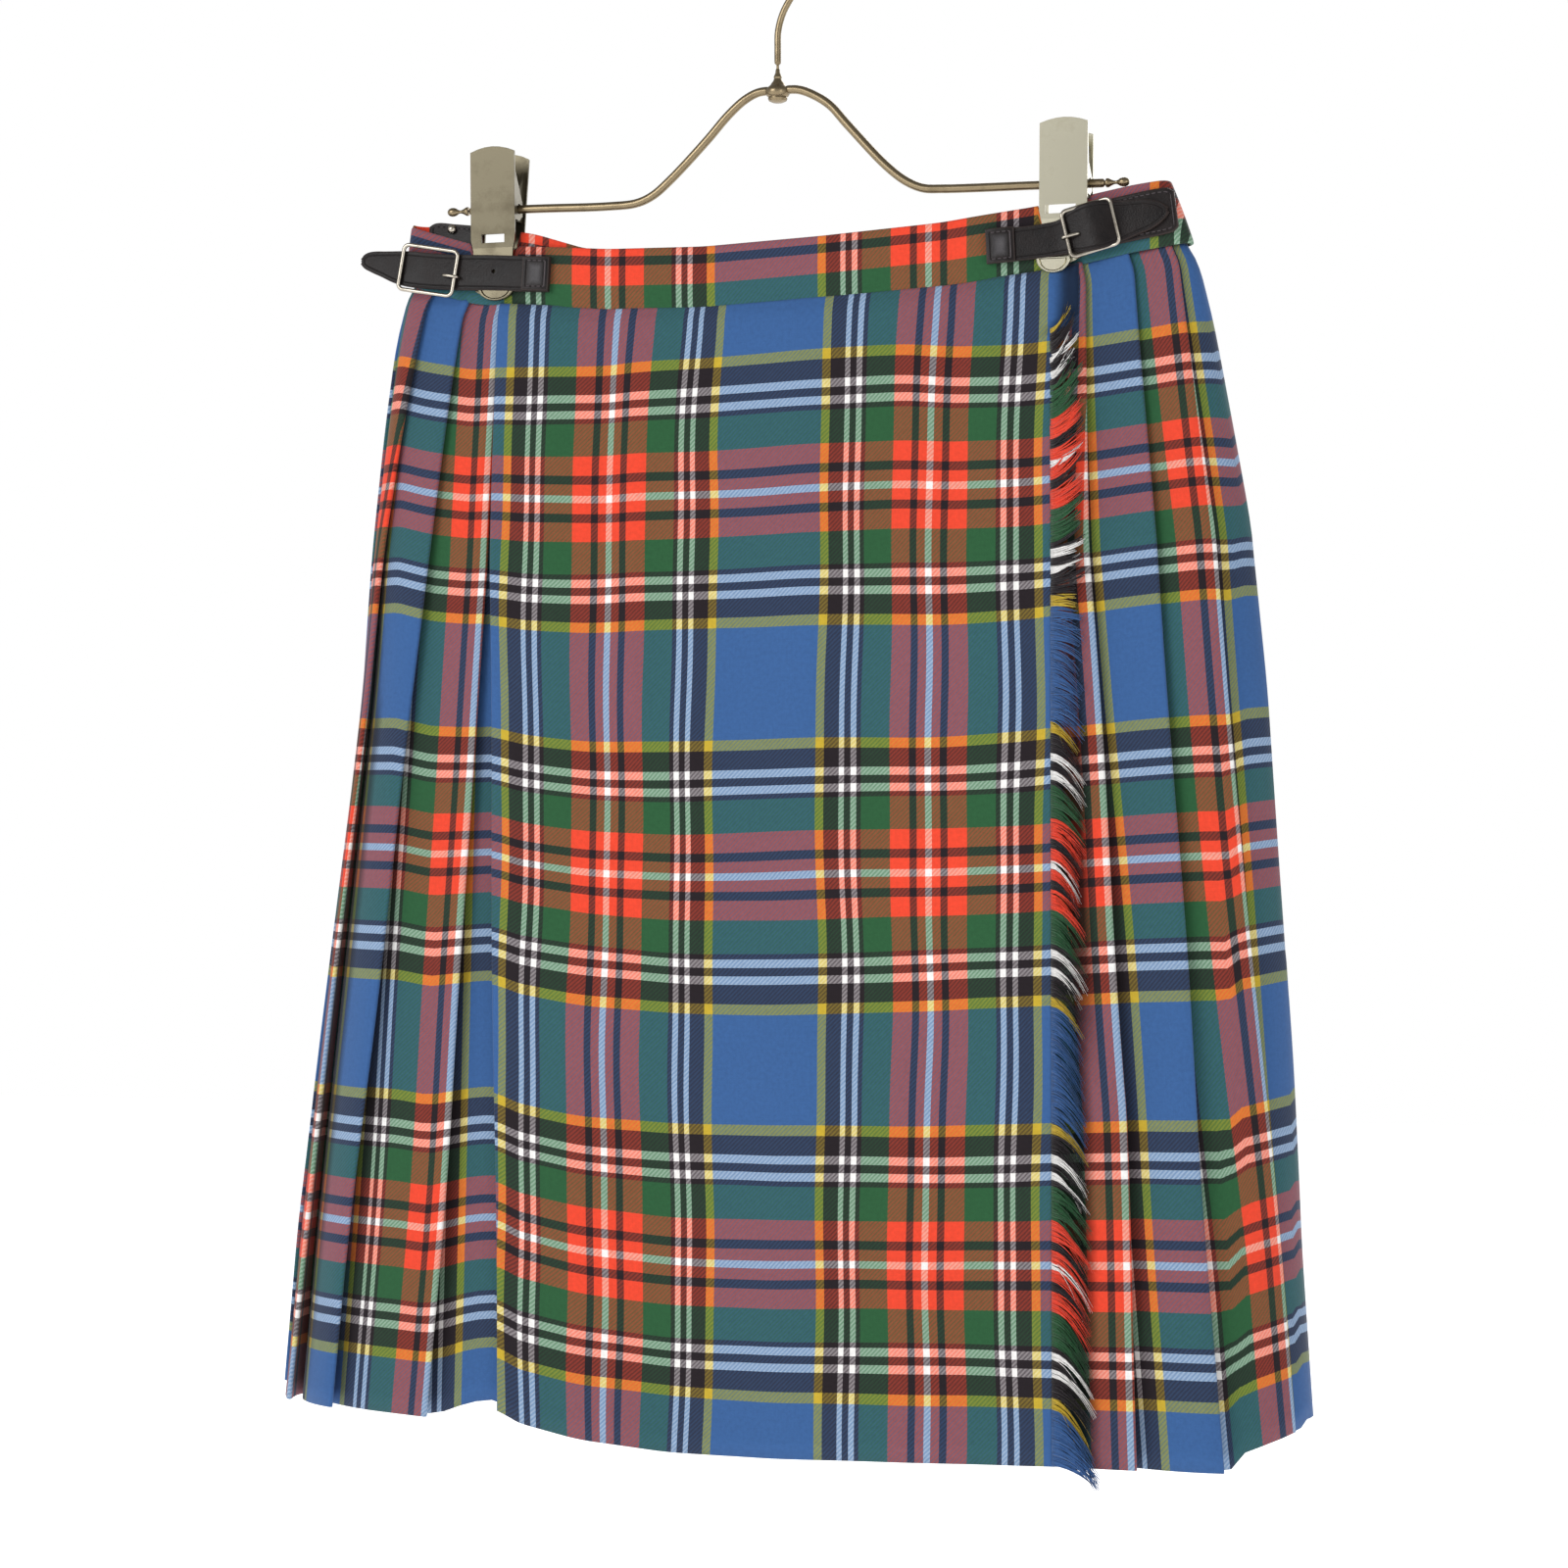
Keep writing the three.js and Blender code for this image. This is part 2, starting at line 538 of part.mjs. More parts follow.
const HALF_STRAP = STRAP_WIDTH / 2;
const LEFT_STRAP = [
  { x: -206.5, y: -8, z: 284, half: 1.2 }, { x: -203.5, y: -8, z: 283.4, half: 3.8 },
  { x: -198, y: -8, z: 282, half: 6.6 }, { x: -190, y: -8, z: 280.4, half: HALF_STRAP },
  { x: -184, y: -8, z: 279.2, half: HALF_STRAP }, { x: -171, y: -8, z: 277.4, half: HALF_STRAP },
  { x: -157, y: -7.8, z: 276.4, half: HALF_STRAP }, { x: -142, y: -7.6, z: 275.6, half: HALF_STRAP },
  { x: -128, y: -7.4, z: 274.4, half: HALF_STRAP }, { x: -112, y: -7.4, z: 273, half: HALF_STRAP },
];
const RIGHT_STRAP = [
  { x: 98, y: -7.4, z: 277, half: HALF_STRAP }, { x: 112, y: -7.4, z: 277.7, half: HALF_STRAP },
  { x: 124, y: -7.5, z: 278.5, half: HALF_STRAP }, { x: 138, y: -7.7, z: 280, half: HALF_STRAP },
  { x: 146, y: -8.2, z: 282, half: HALF_STRAP }, { x: 156, y: -9, z: 284.6, half: HALF_STRAP },
  { x: 168, y: -9.6, z: 287.2, half: HALF_STRAP }, { x: 174, y: -9.7, z: 288.4, half: 7 },
  { x: 179, y: -9.6, z: 289.2, half: 3.6 }, { x: 180.5, y: -9.5, z: 289.4, half: 1.2 },
];
const PATCH_LENGTH = 13;
const PATCH_WALL = 1.2;

/** The small end patch that is sewn over a strap's root. */
function patch(stations, from, to) {
  const x = (t) => mix(from, to, t);
  const columns = ['y', 'z'].map((key) => stations.map((s) => [s.x, s[key]]));
  const lift = STRAP_WALL / 2 + SEAM_GAP + PATCH_WALL / 2;
  return leather([0, 1].map((t) => ({ x: x(t), y: lookUp(columns[0], x(t)) - lift,
    z: lookUp(columns[1], x(t)), half: HALF_STRAP - 0.6 })), PATCH_WALL);
}

const CHAPE = [
  { x: 149, y: -6.3, z: 285, half: 10.5 }, { x: 158, y: -7, z: 286.2, half: 10.5 },
  { x: 170, y: -7.7, z: 288, half: 10.5 }, { x: 180, y: -7.6, z: 289.6, half: 10.5 },
  { x: 186, y: -7.2, z: 290.4, half: 8.5 },
];
const TAB = [
  { x: -176, y: 1.6, z: 295, half: 4.5 }, { x: -173, y: 1.5, z: 295, half: 6 },
  { x: -151.5, y: 0.4, z: 292.5, half: 6 },
];

// ---------------------------------------------------------------- buckles
const BUCKLE = { width: 27, height: 22, wire: 2, corner: 3 };

function roundedRect(path, halfWidth, halfHeight, radius) {
  path.moveTo(-halfWidth + radius, -halfHeight);
  path.lineTo(halfWidth - radius, -halfHeight);
  path.absarc(halfWidth - radius, -halfHeight + radius, radius, -Math.PI / 2, 0);
  path.lineTo(halfWidth, halfHeight - radius);
  path.absarc(halfWidth - radius, halfHeight - radius, radius, 0, Math.PI / 2);
  path.lineTo(-halfWidth + radius, halfHeight);
  path.absarc(-halfWidth + radius, halfHeight - radius, radius, Math.PI / 2, Math.PI);
  path.lineTo(-halfWidth, -halfHeight + radius);
  path.absarc(-halfWidth + radius, -halfHeight + radius, radius, Math.PI, 1.5 * Math.PI);
  return path;
}

/** Turns a shape drawn in X and Y into one drawn in X and Z, its thickness reaching forward from y. */
function upright(geometry, y) {
  geometry.rotateX(Math.PI / 2);
  geometry.translate(0, y, 0);
  return geometry;
}

function buckleFrame() {
  const { width, height, wire, corner } = BUCKLE;
  const shape = roundedRect(new THREE.Shape(), width / 2 - 0.4, height / 2 - 0.4, corner);
  shape.holes.push(roundedRect(new THREE.Path(), width / 2 - wire + 0.4, height / 2 - wire + 0.4, corner - 1));
  const geometry = new THREE.ExtrudeGeometry(shape, { depth: wire - 0.8, bevelSize: 0.4, bevelThickness: 0.4,
    bevelSegments: 1, curveSegments: 3 });
  return upright(geometry, wire - 0.4);
}

/** The prong lies on the strap from its hole and ends on the frame's bar. */
function prong(towards) {
  const geometry = new THREE.CylinderGeometry(0.9, 0.7, 7.5, 8);
  geometry.rotateZ(Math.PI / 2 * -towards);
  return geometry;
}

// ---------------------------------------------------------------- hanger
function tube(points, radius, sides, steps) {
  const curve = new THREE.CatmullRomCurve3(points.map(([x, z]) => new THREE.Vector3(x, 0, z)), false,
    'centripetal');
  const section = new THREE.Shape();
  for (let k = 0; k < sides; k += 1) {
    const turn = (2 * Math.PI * k) / sides;
    const corner = [radius * Math.cos(turn), radius * Math.sin(turn)];
    if (k === 0) section.moveTo(...corner);
    else section.lineTo(...corner);
  }
  section.closePath();
  return new THREE.ExtrudeGeometry(section, { steps, extrudePath: curve, bevelEnabled: false });
}

const BALL = { x: -3, z: 352.4, radius: 5.35, height: 4.4 };
const WIRE_LEFT = [[-155.2, 305.5], [-120, 305], [-86, 304.3], [-72, 305], [-64, 308], [-55, 315],
  [-37, 332.4], [-27, 343], [-19, 349.6], [-12.5, 352.6], [-8.7, 353]];
const WIRE_RIGHT = [[2.7, 353], [7, 352.8], [13, 350.6], [21.6, 345.2], [30.5, 335.3], [48.6, 315.9],
  [58, 308.4], [66, 304.8], [75, 304], [120, 303.2], [150.6, 302.6]];
const HOOK_CENTRE = { x: REST_X, z: REST_HEIGHT + HOOK_WIRE_RADIUS - HOOK_RADIUS };

function hook() {
  const points = [[BALL.x, BALL.z + BALL.height + 7.6], [BALL.x, 372], [BALL.x + 0.2, 380], [BALL.x + 2.4, 388],
    [BALL.x + 7, 396]];
  const from = -48;
  const to = 205;
  const steps = 14;
  for (let i = 0; i <= steps; i += 1) {
    const turn = THREE.MathUtils.degToRad(mix(from, to, i / steps));
    points.push([HOOK_CENTRE.x + HOOK_RADIUS * Math.cos(turn), HOOK_CENTRE.z + HOOK_RADIUS * Math.sin(turn)]);
  }
  return tube(points, HOOK_WIRE_RADIUS, 8, 34);
}

const lathe = (profile, segments) => new THREE.LatheGeometry(profile.map(([r, z]) => new THREE.Vector2(r, z)),
  segments);

/** Ball on the middle of the wire with the collar that the hook turns in. */
function ball() {
  const profile = [[0, -BALL.height], [3, -BALL.height + 0.7], [4.9, -2], [BALL.radius, 0], [4.9, 2],
    [3.2, BALL.height - 0.6], [3.2, BALL.height + 0.8], [2.4, BALL.height + 3], [2.9, BALL.height + 4.4],
    [2.3, BALL.height + 6], [1.9, BALL.height + 7.3], [0, BALL.height + 7.3]];
  const geometry = lathe(profile, 16);
  geometry.rotateX(Math.PI / 2);
  return geometry;
}

/** Turned end of the wire: cone, neck and bulb. */
function finial(towards) {
  const profile = [[0, 0], [2.4, 0], [2.6, 1.2], [1.1, 4.2], [1, 5.6], [2.3, 7.4], [2.5, 8.8], [1.6, 10.2],
    [0, 10.6]];
  const geometry = lathe(profile, 12);
  geometry.rotateZ(-towards * Math.PI / 2);
  return geometry;
}

// ---------------------------------------------------------------- clips
const SLOT = { width: 11.5, height: 4, z: 291.5 };
const JAW = { corner: 3.5, lip: 3.2, shoulder: 2 };   // its lower edge is an arc between raised corners
const PLATE_CORNER = 3.5;       // how far the plate's top arc stands over its corners
const CHEEK = { below: 5.5, behind: 4, flat: 3, above: 9, top: 323 };
const CHEEK_WALL = 1;
const CHEEK_PLAY = 0.4;
const HOLE_PLAY = 0.4;

/** One half of a clip at x = 0, facing front: jaw, leaning plate with a slot, and two cheeks on the wire. */
function clipHalf(barZ, bottom, cheekHalf, lowered) {
  const inner = -(PINCH + BAND_WALL / 2 + SEAM_GAP);
  const halfWidth = CLIP_WIDTH / 2;
  const jaw = new THREE.Shape();
  jaw.moveTo(-halfWidth + JAW.shoulder, bottom + JAW.corner);
  jaw.quadraticCurveTo(0, bottom - JAW.lip, halfWidth - JAW.shoulder, bottom + JAW.corner);
  jaw.lineTo(halfWidth - 1, CLIP_KNEE + 1);
  jaw.lineTo(-halfWidth + 1, CLIP_KNEE + 1);
  const jawPlate = upright(new THREE.ExtrudeGeometry(jaw, { depth: CLIP_SHEET, bevelEnabled: false,
    curveSegments: 6 }), inner);
  const plate = new THREE.Shape();
  const top = CLIP_TOP - lowered - CLIP_KNEE;
  plate.moveTo(-halfWidth + 1, -1);
  plate.lineTo(halfWidth - 1, -1);
  plate.lineTo(halfWidth, 4);
  plate.lineTo(halfWidth, top - PLATE_CORNER);
  plate.quadraticCurveTo(0, top + PLATE_CORNER, -halfWidth, top - PLATE_CORNER);
  plate.lineTo(-halfWidth, 4);
  const slot = new THREE.Path();
  const slotZ = SLOT.z - CLIP_KNEE;
  slot.moveTo(-SLOT.width / 2, slotZ - SLOT.height / 2);
  slot.lineTo(SLOT.width / 2, slotZ - SLOT.height / 2);
  slot.lineTo(SLOT.width / 2, slotZ + SLOT.height / 2);
  slot.lineTo(-SLOT.width / 2, slotZ + SLOT.height / 2);
  plate.holes.push(slot);
  const leaning = upright(new THREE.ExtrudeGeometry(plate, { depth: CLIP_SHEET, bevelEnabled: false,
    curveSegments: 6 }), 0);
  leaning.rotateX(Math.atan(CLIP_LEAN / (CLIP_TOP - CLIP_KNEE)));
  leaning.translate(0, inner, CLIP_KNEE);
  const cheeks = [-1, 1].map((side) => {
    const outline = new THREE.Shape();
    const plateY = (z) => inner - ((z - CLIP_KNEE) * CLIP_LEAN) / (CLIP_TOP - CLIP_KNEE) - CLIP_SHEET * 0.4;
    outline.moveTo(plateY(barZ - CHEEK.below), barZ - CHEEK.below);
    outline.lineTo(0, barZ - CHEEK.below);
    outline.lineTo(CHEEK.behind, barZ - CHEEK.flat);
    outline.lineTo(CHEEK.behind, barZ + CHEEK.flat);
    outline.lineTo(-CHEEK.behind / 2, barZ + CHEEK.above);
    outline.lineTo(plateY(CHEEK.top), CHEEK.top);
    const cheek = new THREE.ExtrudeGeometry(outline, { depth: CHEEK_WALL, bevelEnabled: false });
    // Drawn in Y and Z, thick along X.
    cheek.rotateX(Math.PI / 2);
    cheek.rotateZ(Math.PI / 2);
    cheek.translate(side > 0 ? cheekHalf - CHEEK_WALL : -cheekHalf, 0, 0);
    return cheek;
  });
  const hole = new THREE.CylinderGeometry(WIRE_RADIUS + HOLE_PLAY, WIRE_RADIUS + HOLE_PLAY, CLIP_WIDTH * 2, 16);
  hole.rotateZ(Math.PI / 2);
  hole.translate(0, 0, barZ);
  return cut(join([jawPlate, leaning, ...cheeks]), [hole]);
}

// ---------------------------------------------------------------- assembly
const skirt = new THREE.Group();
skirt.position.set(-REST_X, 0, -REST_HEIGHT);

function piece(name, geometry, material, place = [0, 0, 0], tilt = 0) {
  const mesh = new THREE.Mesh(geometry, material);
  mesh.name = name;
  mesh.position.set(...place);
  mesh.rotation.y = tilt;
  skirt.add(mesh);
  return mesh;
}

const RIGHT_CUT = 6;
const BACK_CUT = 19;
piece('over_apron', overApron(), TARTAN);
piece('fringe', fringe(), FRINGE_WOOL);
piece('under_apron', underApron(), TARTAN_UNDER);
piece('pleats_right', pleats(0, RIGHT_CUT), TARTAN);
piece('pleats_back', pleats(RIGHT_CUT, BACK_CUT), TARTAN_UNDER);
piece('pleats_left', pleats(BACK_CUT, PLEATS), TARTAN);
piece('waistband_front', bandFront(), TARTAN);
piece('waistband_back', bandBack(), TARTAN_UNDER);
piece('waistband_under', bandUnder(), TARTAN);

piece('strap_left', leather(LEFT_STRAP), LEATHER);
piece('strap_right', leather(RIGHT_STRAP), LEATHER);
piece('patch_left', patch(LEFT_STRAP, -112 - PATCH_LENGTH, -112), LEATHER);
piece('patch_right', patch(RIGHT_STRAP, 98, 98 + PATCH_LENGTH), LEATHER);
piece('chape_right', leather(CHAPE, 1.8), LEATHER);
piece('inner_tab', leather(TAB, 1.6), LEATHER);
const stud = lathe([[0, -0.2], [2, 0], [2, 0.6], [1.2, 1.4], [0, 1.6]], 12);
stud.rotateX(Math.PI);
piece('inner_stud', stud, NICKEL, [-164, -0.4, 297.5]);

const BUCKLE_Y = -8 - STRAP_WALL / 2 - SEAM_GAP - BUCKLE.wire;
const BUCKLES = [
  { side: 'left', x: -171.7, y: BUCKLE_Y, z: 277.4, tilt: 0.17, prong: 1 },
  { side: 'right', x: 146.5, y: BUCKLE_Y - 1.2, z: 282.2, tilt: -0.22, prong: -1 },
];
for (const { side, x, y, z, tilt, prong: towards } of BUCKLES) {
  piece(`buckle_${side}`, buckleFrame(), NICKEL, [x, y, z], tilt);
  piece(`prong_${side}`, prong(towards), NICKEL, [x + towards * (BUCKLE.width / 2 - 3.5), y - 1.2, z], tilt);
}

piece('hanger_wire_left', tube(WIRE_LEFT, WIRE_RADIUS, 8, 32), ANTIQUE);
piece('hanger_wire_right', tube(WIRE_RIGHT, WIRE_RADIUS, 8, 32), ANTIQUE);
piece('hanger_ball', ball(), ANTIQUE, [BALL.x, 0, BALL.z]);
piece('hanger_hook', hook(), ANTIQUE);
piece('finial_left', finial(-1), ANTIQUE, [WIRE_LEFT[0][0] - SEAM_GAP, 0, WIRE_LEFT[0][1]]);
piece('finial_right', finial(1), ANTIQUE, [WIRE_RIGHT.at(-1)[0] + SEAM_GAP, 0, WIRE_RIGHT.at(-1)[1]]);

for (const { name, x, bar, bottom } of CLIPS) {
  const outside = CLIP_WIDTH / 2;
  piece(`${name}_front`, clipHalf(bar, bottom, outside, 0), BRASS, [x, 0, 0]);
  const back = clipHalf(bar, bottom, outside - CHEEK_WALL - CHEEK_PLAY, 3);
  back.rotateZ(Math.PI);
  piece(`${name}_back`, back, BRASS, [x, 0, 0]);
}

export default skirt;
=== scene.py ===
# %% [markdown]
# A kilt-style wrap skirt hangs from a wire hanger by two spring clips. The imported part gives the
# frame: every solid is already in its place, in metres, with its origin where the hook rests on a
# rail. This script dresses those solids. Sizes below are in millimetres, as a maker measures them,
# and are turned into metres when a mesh is made.

import math
import random

import bpy
import numpy as np
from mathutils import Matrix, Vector


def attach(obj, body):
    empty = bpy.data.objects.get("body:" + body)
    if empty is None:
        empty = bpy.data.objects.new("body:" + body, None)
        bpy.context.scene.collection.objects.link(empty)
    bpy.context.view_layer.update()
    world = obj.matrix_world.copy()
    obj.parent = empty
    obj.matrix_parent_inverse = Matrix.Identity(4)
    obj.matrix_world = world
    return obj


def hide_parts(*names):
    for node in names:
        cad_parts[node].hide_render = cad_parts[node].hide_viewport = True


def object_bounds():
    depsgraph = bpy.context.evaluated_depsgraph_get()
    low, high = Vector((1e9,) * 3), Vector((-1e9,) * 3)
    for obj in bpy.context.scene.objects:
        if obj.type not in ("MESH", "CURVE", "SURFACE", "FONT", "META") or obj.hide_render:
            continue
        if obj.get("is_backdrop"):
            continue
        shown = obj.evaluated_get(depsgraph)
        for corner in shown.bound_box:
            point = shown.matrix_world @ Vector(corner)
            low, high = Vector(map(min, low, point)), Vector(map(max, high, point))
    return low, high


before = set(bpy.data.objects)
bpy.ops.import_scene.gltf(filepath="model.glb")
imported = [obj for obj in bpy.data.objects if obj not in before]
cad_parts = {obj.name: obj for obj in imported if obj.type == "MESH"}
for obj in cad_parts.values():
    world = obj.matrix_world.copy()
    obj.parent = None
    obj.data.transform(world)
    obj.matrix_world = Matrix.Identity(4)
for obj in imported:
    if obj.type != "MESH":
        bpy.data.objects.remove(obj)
solid_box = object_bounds()
MM = 0.001
ZERO = np.array([2.0, 0.0, -446.0])  # the middle of the skirt, seen from the hook's rest point
random.seed(7)
print("solids:", len(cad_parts), "box:", [list(corner) for corner in solid_box])

# %% [markdown]
# The camera stands 1.8 m off and a little to the right, so the skirt's right side turns towards it.
# It looks level and is shifted up instead of tilted, which keeps the hanging lines upright.

# %% Camera
CAMERA_TURN = math.radians(18)
CAMERA_DISTANCE = 1800.0


def metres(point):
    """A point in the skirt's own millimetres, as the frame's metres."""
    return Vector([(value + zero) * MM for value, zero in zip(point, ZERO)])


def added(name, data):
    """A new object with this data, linked to the scene."""
    piece = bpy.data.objects.new(name, data)
    bpy.context.collection.objects.link(piece)
    return piece


def only(piece):
    """Makes this piece the one that the next operator works on."""
    bpy.ops.object.select_all(action="DESELECT")
    piece.select_set(True)
    bpy.context.view_layer.objects.active = piece
    return piece


camera_data = bpy.data.cameras.new("camera")
camera_data.lens = 90.4
camera_data.sensor_width = 36
camera_data.shift_y = 0.05
camera = added("camera", camera_data)
camera.location = metres((CAMERA_DISTANCE * math.sin(CAMERA_TURN), -CAMERA_DISTANCE * math.cos(CAMERA_TURN), 0))
camera.rotation_euler = (math.pi / 2, 0, CAMERA_TURN)
bpy.context.scene.camera = camera
print("camera at", tuple(round(v, 3) for v in camera.location))

# %% [markdown]
# A finish is a small network of nodes, and its maths reads best as sums. The class below holds one
# socket of a material. Plus, minus, times and divided by on it add Math nodes, and the method node
# adds any other one: first its settings, then the values or links of its sockets.

# %% A socket that can be reckoned with
class Dye:
    def __init__(self, tree, socket=None):
        self.tree, self.socket = tree, socket

    def node(self, kind, settings=None, inputs=None, output=0):
        made = self.tree.nodes.new(kind)
        for name, value in (settings or {}).items():
            if name == "stops":
                ramp = made.color_ramp
                while len(ramp.elements) < len(value):
                    ramp.elements.new(1.0)
                for stop, (place, colour) in zip(ramp.elements, value):
                    stop.position, stop.color = place, colour
            elif name == "blend_between":
                made.color_ramp.interpolation = value
            else:
                setattr(made, name, value)
        for name, value in (inputs or {}).items():
            if isinstance(value, Dye):
                self.tree.links.new(value.socket, made.inputs[name])
            elif value is not None:
                made.inputs[name].default_value = value
        return Dye(self.tree, made.outputs[output])

    def math(self, operation, *values):
        return self.node("ShaderNodeMath", {"operation": operation}, dict(enumerate((self,) + values)))

    def __add__(self, other):
        return self.math("ADD", other)

    def __sub__(self, other):
        return self.math("SUBTRACT", other)

    def __mul__(self, other):
        return self.math("MULTIPLY", other)

    def __truediv__(self, other):
        return self.math("DIVIDE", other)

    def __rsub__(self, other):
        return self * -1 + other

    __radd__ = __add__
    __rmul__ = __mul__

    def within_one(self):
        """This value, kept between 0 and 1."""
        return self.math("MAXIMUM", 0).math("MINIMUM", 1)

    def part(self, which):
        """One of this vector's three numbers: 0, 1 or 2."""
        return self.node("ShaderNodeSeparateXYZ", None, {0: self}, which)

    def noise(self, scale, detail, roughness=None):
        """Cloudy noise at this place, 0 to 1."""
        settings = {"Vector": self, "Scale": scale, "Detail": detail, "Roughness": roughness}
        return self.node("ShaderNodeTexNoise", None, settings)

    def blend(self, first, second):
        """This mask's mix of two colours."""
        return self.node("ShaderNodeMix", {"data_type": "RGBA"}, {0: self, 6: first, 7: second}, 2)

    def shaded(self, value):
        """This colour, times a value."""
        grey = self.node("ShaderNodeCombineXYZ", None, {0: value, 1: value, 2: value})
        settings = {"data_type": "RGBA", "blend_type": "MULTIPLY"}
        return self.node("ShaderNodeMix", settings, {0: 1.0, 6: self, 7: grey}, 2)


def linear(red, green, blue):
    """A colour chosen on a screen, 0 to 255, as the light that it stands for."""
    channels = [c / 255 for c in (red, green, blue)]
    return tuple(c / 12.92 if c < 0.04045 else ((c + 0.055) / 1.055) ** 2.4 for c in channels) + (1.0,)


def new_finish(name):
    material = bpy.data.materials.new(name)
    material.use_nodes = True
    return material, Dye(material.node_tree), material.node_tree.nodes["Principled BSDF"]


def feed(shader, name, value):
    """Links a worked-out value to the shader's socket, or sets a number or a colour on it."""
    if isinstance(value, Dye):
        value.tree.links.new(value.socket, shader.inputs[name])
    else:
        shader.inputs[name].default_value = value


def bumpy(tree, height, distance, strength=1.0):
    return tree.node("ShaderNodeBump", None, {"Strength": strength, "Distance": distance, "Height": height})


print("red thread in linear light:", [round(v, 3) for v in linear(235, 80, 55)])

# %% [markdown]
# Wool shows its colours best under broad, even light. A large soft panel stands in front to the
# left, a weaker one to the right, and a bright surround fills the folds. The surround is darker
# overhead for everything but the camera, so that the brass has something to reflect.

# %% Light, surround and floor
def soft_panel(name, place, target, size, watts):
    data = bpy.data.lights.new(name, "AREA")
    data.shape = "RECTANGLE"
    data.size, data.size_y = size
    data.energy = watts
    panel = added(name, data)
    panel.location = place
    panel.rotation_euler = (Vector(target) - Vector(place)).to_track_quat("-Z", "Y").to_euler()


soft_panel("key_panel", (-1.3, -2.1, 0.5), (0, 0, -0.4), (1.3, 1.3), 25)
soft_panel("fill_panel", (1.9, -1.7, -0.1), (0, 0, -0.45), (0.9, 1.6), 8)
soft_panel("back_panel", (0.2, 1.9, 0.7), (0, 0, -0.4), (1.6, 1.2), 16)

world = bpy.data.worlds.new("surround")
bpy.context.scene.world = world
world.use_nodes = True
sky = Dye(world.node_tree)
aloft = sky.node("ShaderNodeTexCoord").part(2) * 0.5 + 0.5  # 0 straight down, 1 straight up
greys = ((0.0, 0.55), (0.35, 0.62), (0.5, 0.8), (0.62, 0.64), (0.8, 0.38), (1.0, 0.27))
surround = sky.node("ShaderNodeValToRGB", {"stops": [(p, (g, g, g, 1)) for p, g in greys]}, {0: aloft})
seen = sky.node("ShaderNodeLightPath").blend(surround, (1, 1, 1, 1))
sky.tree.links.new(seen.socket, sky.tree.nodes["Background"].inputs["Color"])
bpy.context.scene.view_settings.view_transform = "Standard"

bpy.ops.object.select_all(action="DESELECT")
bpy.ops.mesh.primitive_plane_add(size=9, location=(0, 0, -0.86))
floor = bpy.context.object
floor.name = "floor"
floor_finish, _, shader = new_finish("pale_floor")
feed(shader, "Base Color", linear(250, 250, 250))
feed(shader, "Roughness", 0.9)
feed(shader, "Emission Color", linear(255, 255, 255))
feed(shader, "Emission Strength", 0.7)
floor.data.materials.append(floor_finish)
floor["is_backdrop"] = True
print("three soft panels and a floor", round(floor.location.z, 2), "m under the rail")

# %% [markdown]
# The cloth is a two-and-two twill in worsted wool: each thread passes over two and under two, one
# step on in each row, so a fine diagonal runs over it and two crossing stripes blend. The pattern is a
# chart of stripe widths for half a repeat, from the middle of a white line to the middle of the blue,
# turned back on itself. One chart runs across the cloth and one down it. The threads are worked out
# from the cloth's own map, which counts metres along and down the cloth, so stripes follow each fold.

# %% Tartan finish
THREADS = {"white": (232, 230, 228), "red": (224, 70, 48), "black": (36, 30, 34),
           "green": (43, 86, 55), "yellow": (188, 160, 52), "blue": (57, 92, 143)}
CHART = ["white", "red", "black", "red", "green", "black", "white", "black", "white", "black", "yellow", "blue"]
ACROSS = [1.35, 3.9, 3.3, 8.9, 13.6, 2.2, 2.6, 3.0, 2.6, 6.8, 4.0, 24.75]
DOWN = [1.7, 5.0, 4.1, 8.9, 15.1, 2.3, 3.6, 3.9, 3.6, 8.9, 4.9, 25.5]
HALF_ACROSS, HALF_DOWN = sum(ACROSS), sum(DOWN)
THREAD = 0.52  # from one thread to the next
DYE_DEPTH = 2.0  # how far the darker of two crossing threads wins over the lighter one
PAINTED_SHADE_DEPTH = 0.8  # how far the painted shade darkens the colour where it is full


def stripes(distance, widths):
    """The colour of the thread at a distance in millimetres along the chart."""
    half = sum(widths)
    starts = [sum(widths[:i]) / half for i in range(len(widths))]
    folded = (distance / (2 * half)).math("FRACT") * 2
    from_white = 1 - (folded - 1).math("ABSOLUTE")
    roots = {name: tuple((c / 255) ** (1 / DYE_DEPTH) for c in dyed) + (1,) for name, dyed in THREADS.items()}
    stops = [(start, roots[name]) for start, name in zip(starts, CHART)]
    return from_white.node("ShaderNodeValToRGB", {"stops": stops, "blend_between": "CONSTANT"}, {0: from_white})


def as_light(colour):
    """Threads are mixed by their roots, then turned into the light that they stand for."""
    return colour.node("ShaderNodeGamma", None, {"Color": colour, "Gamma": 2.2 * DYE_DEPTH})


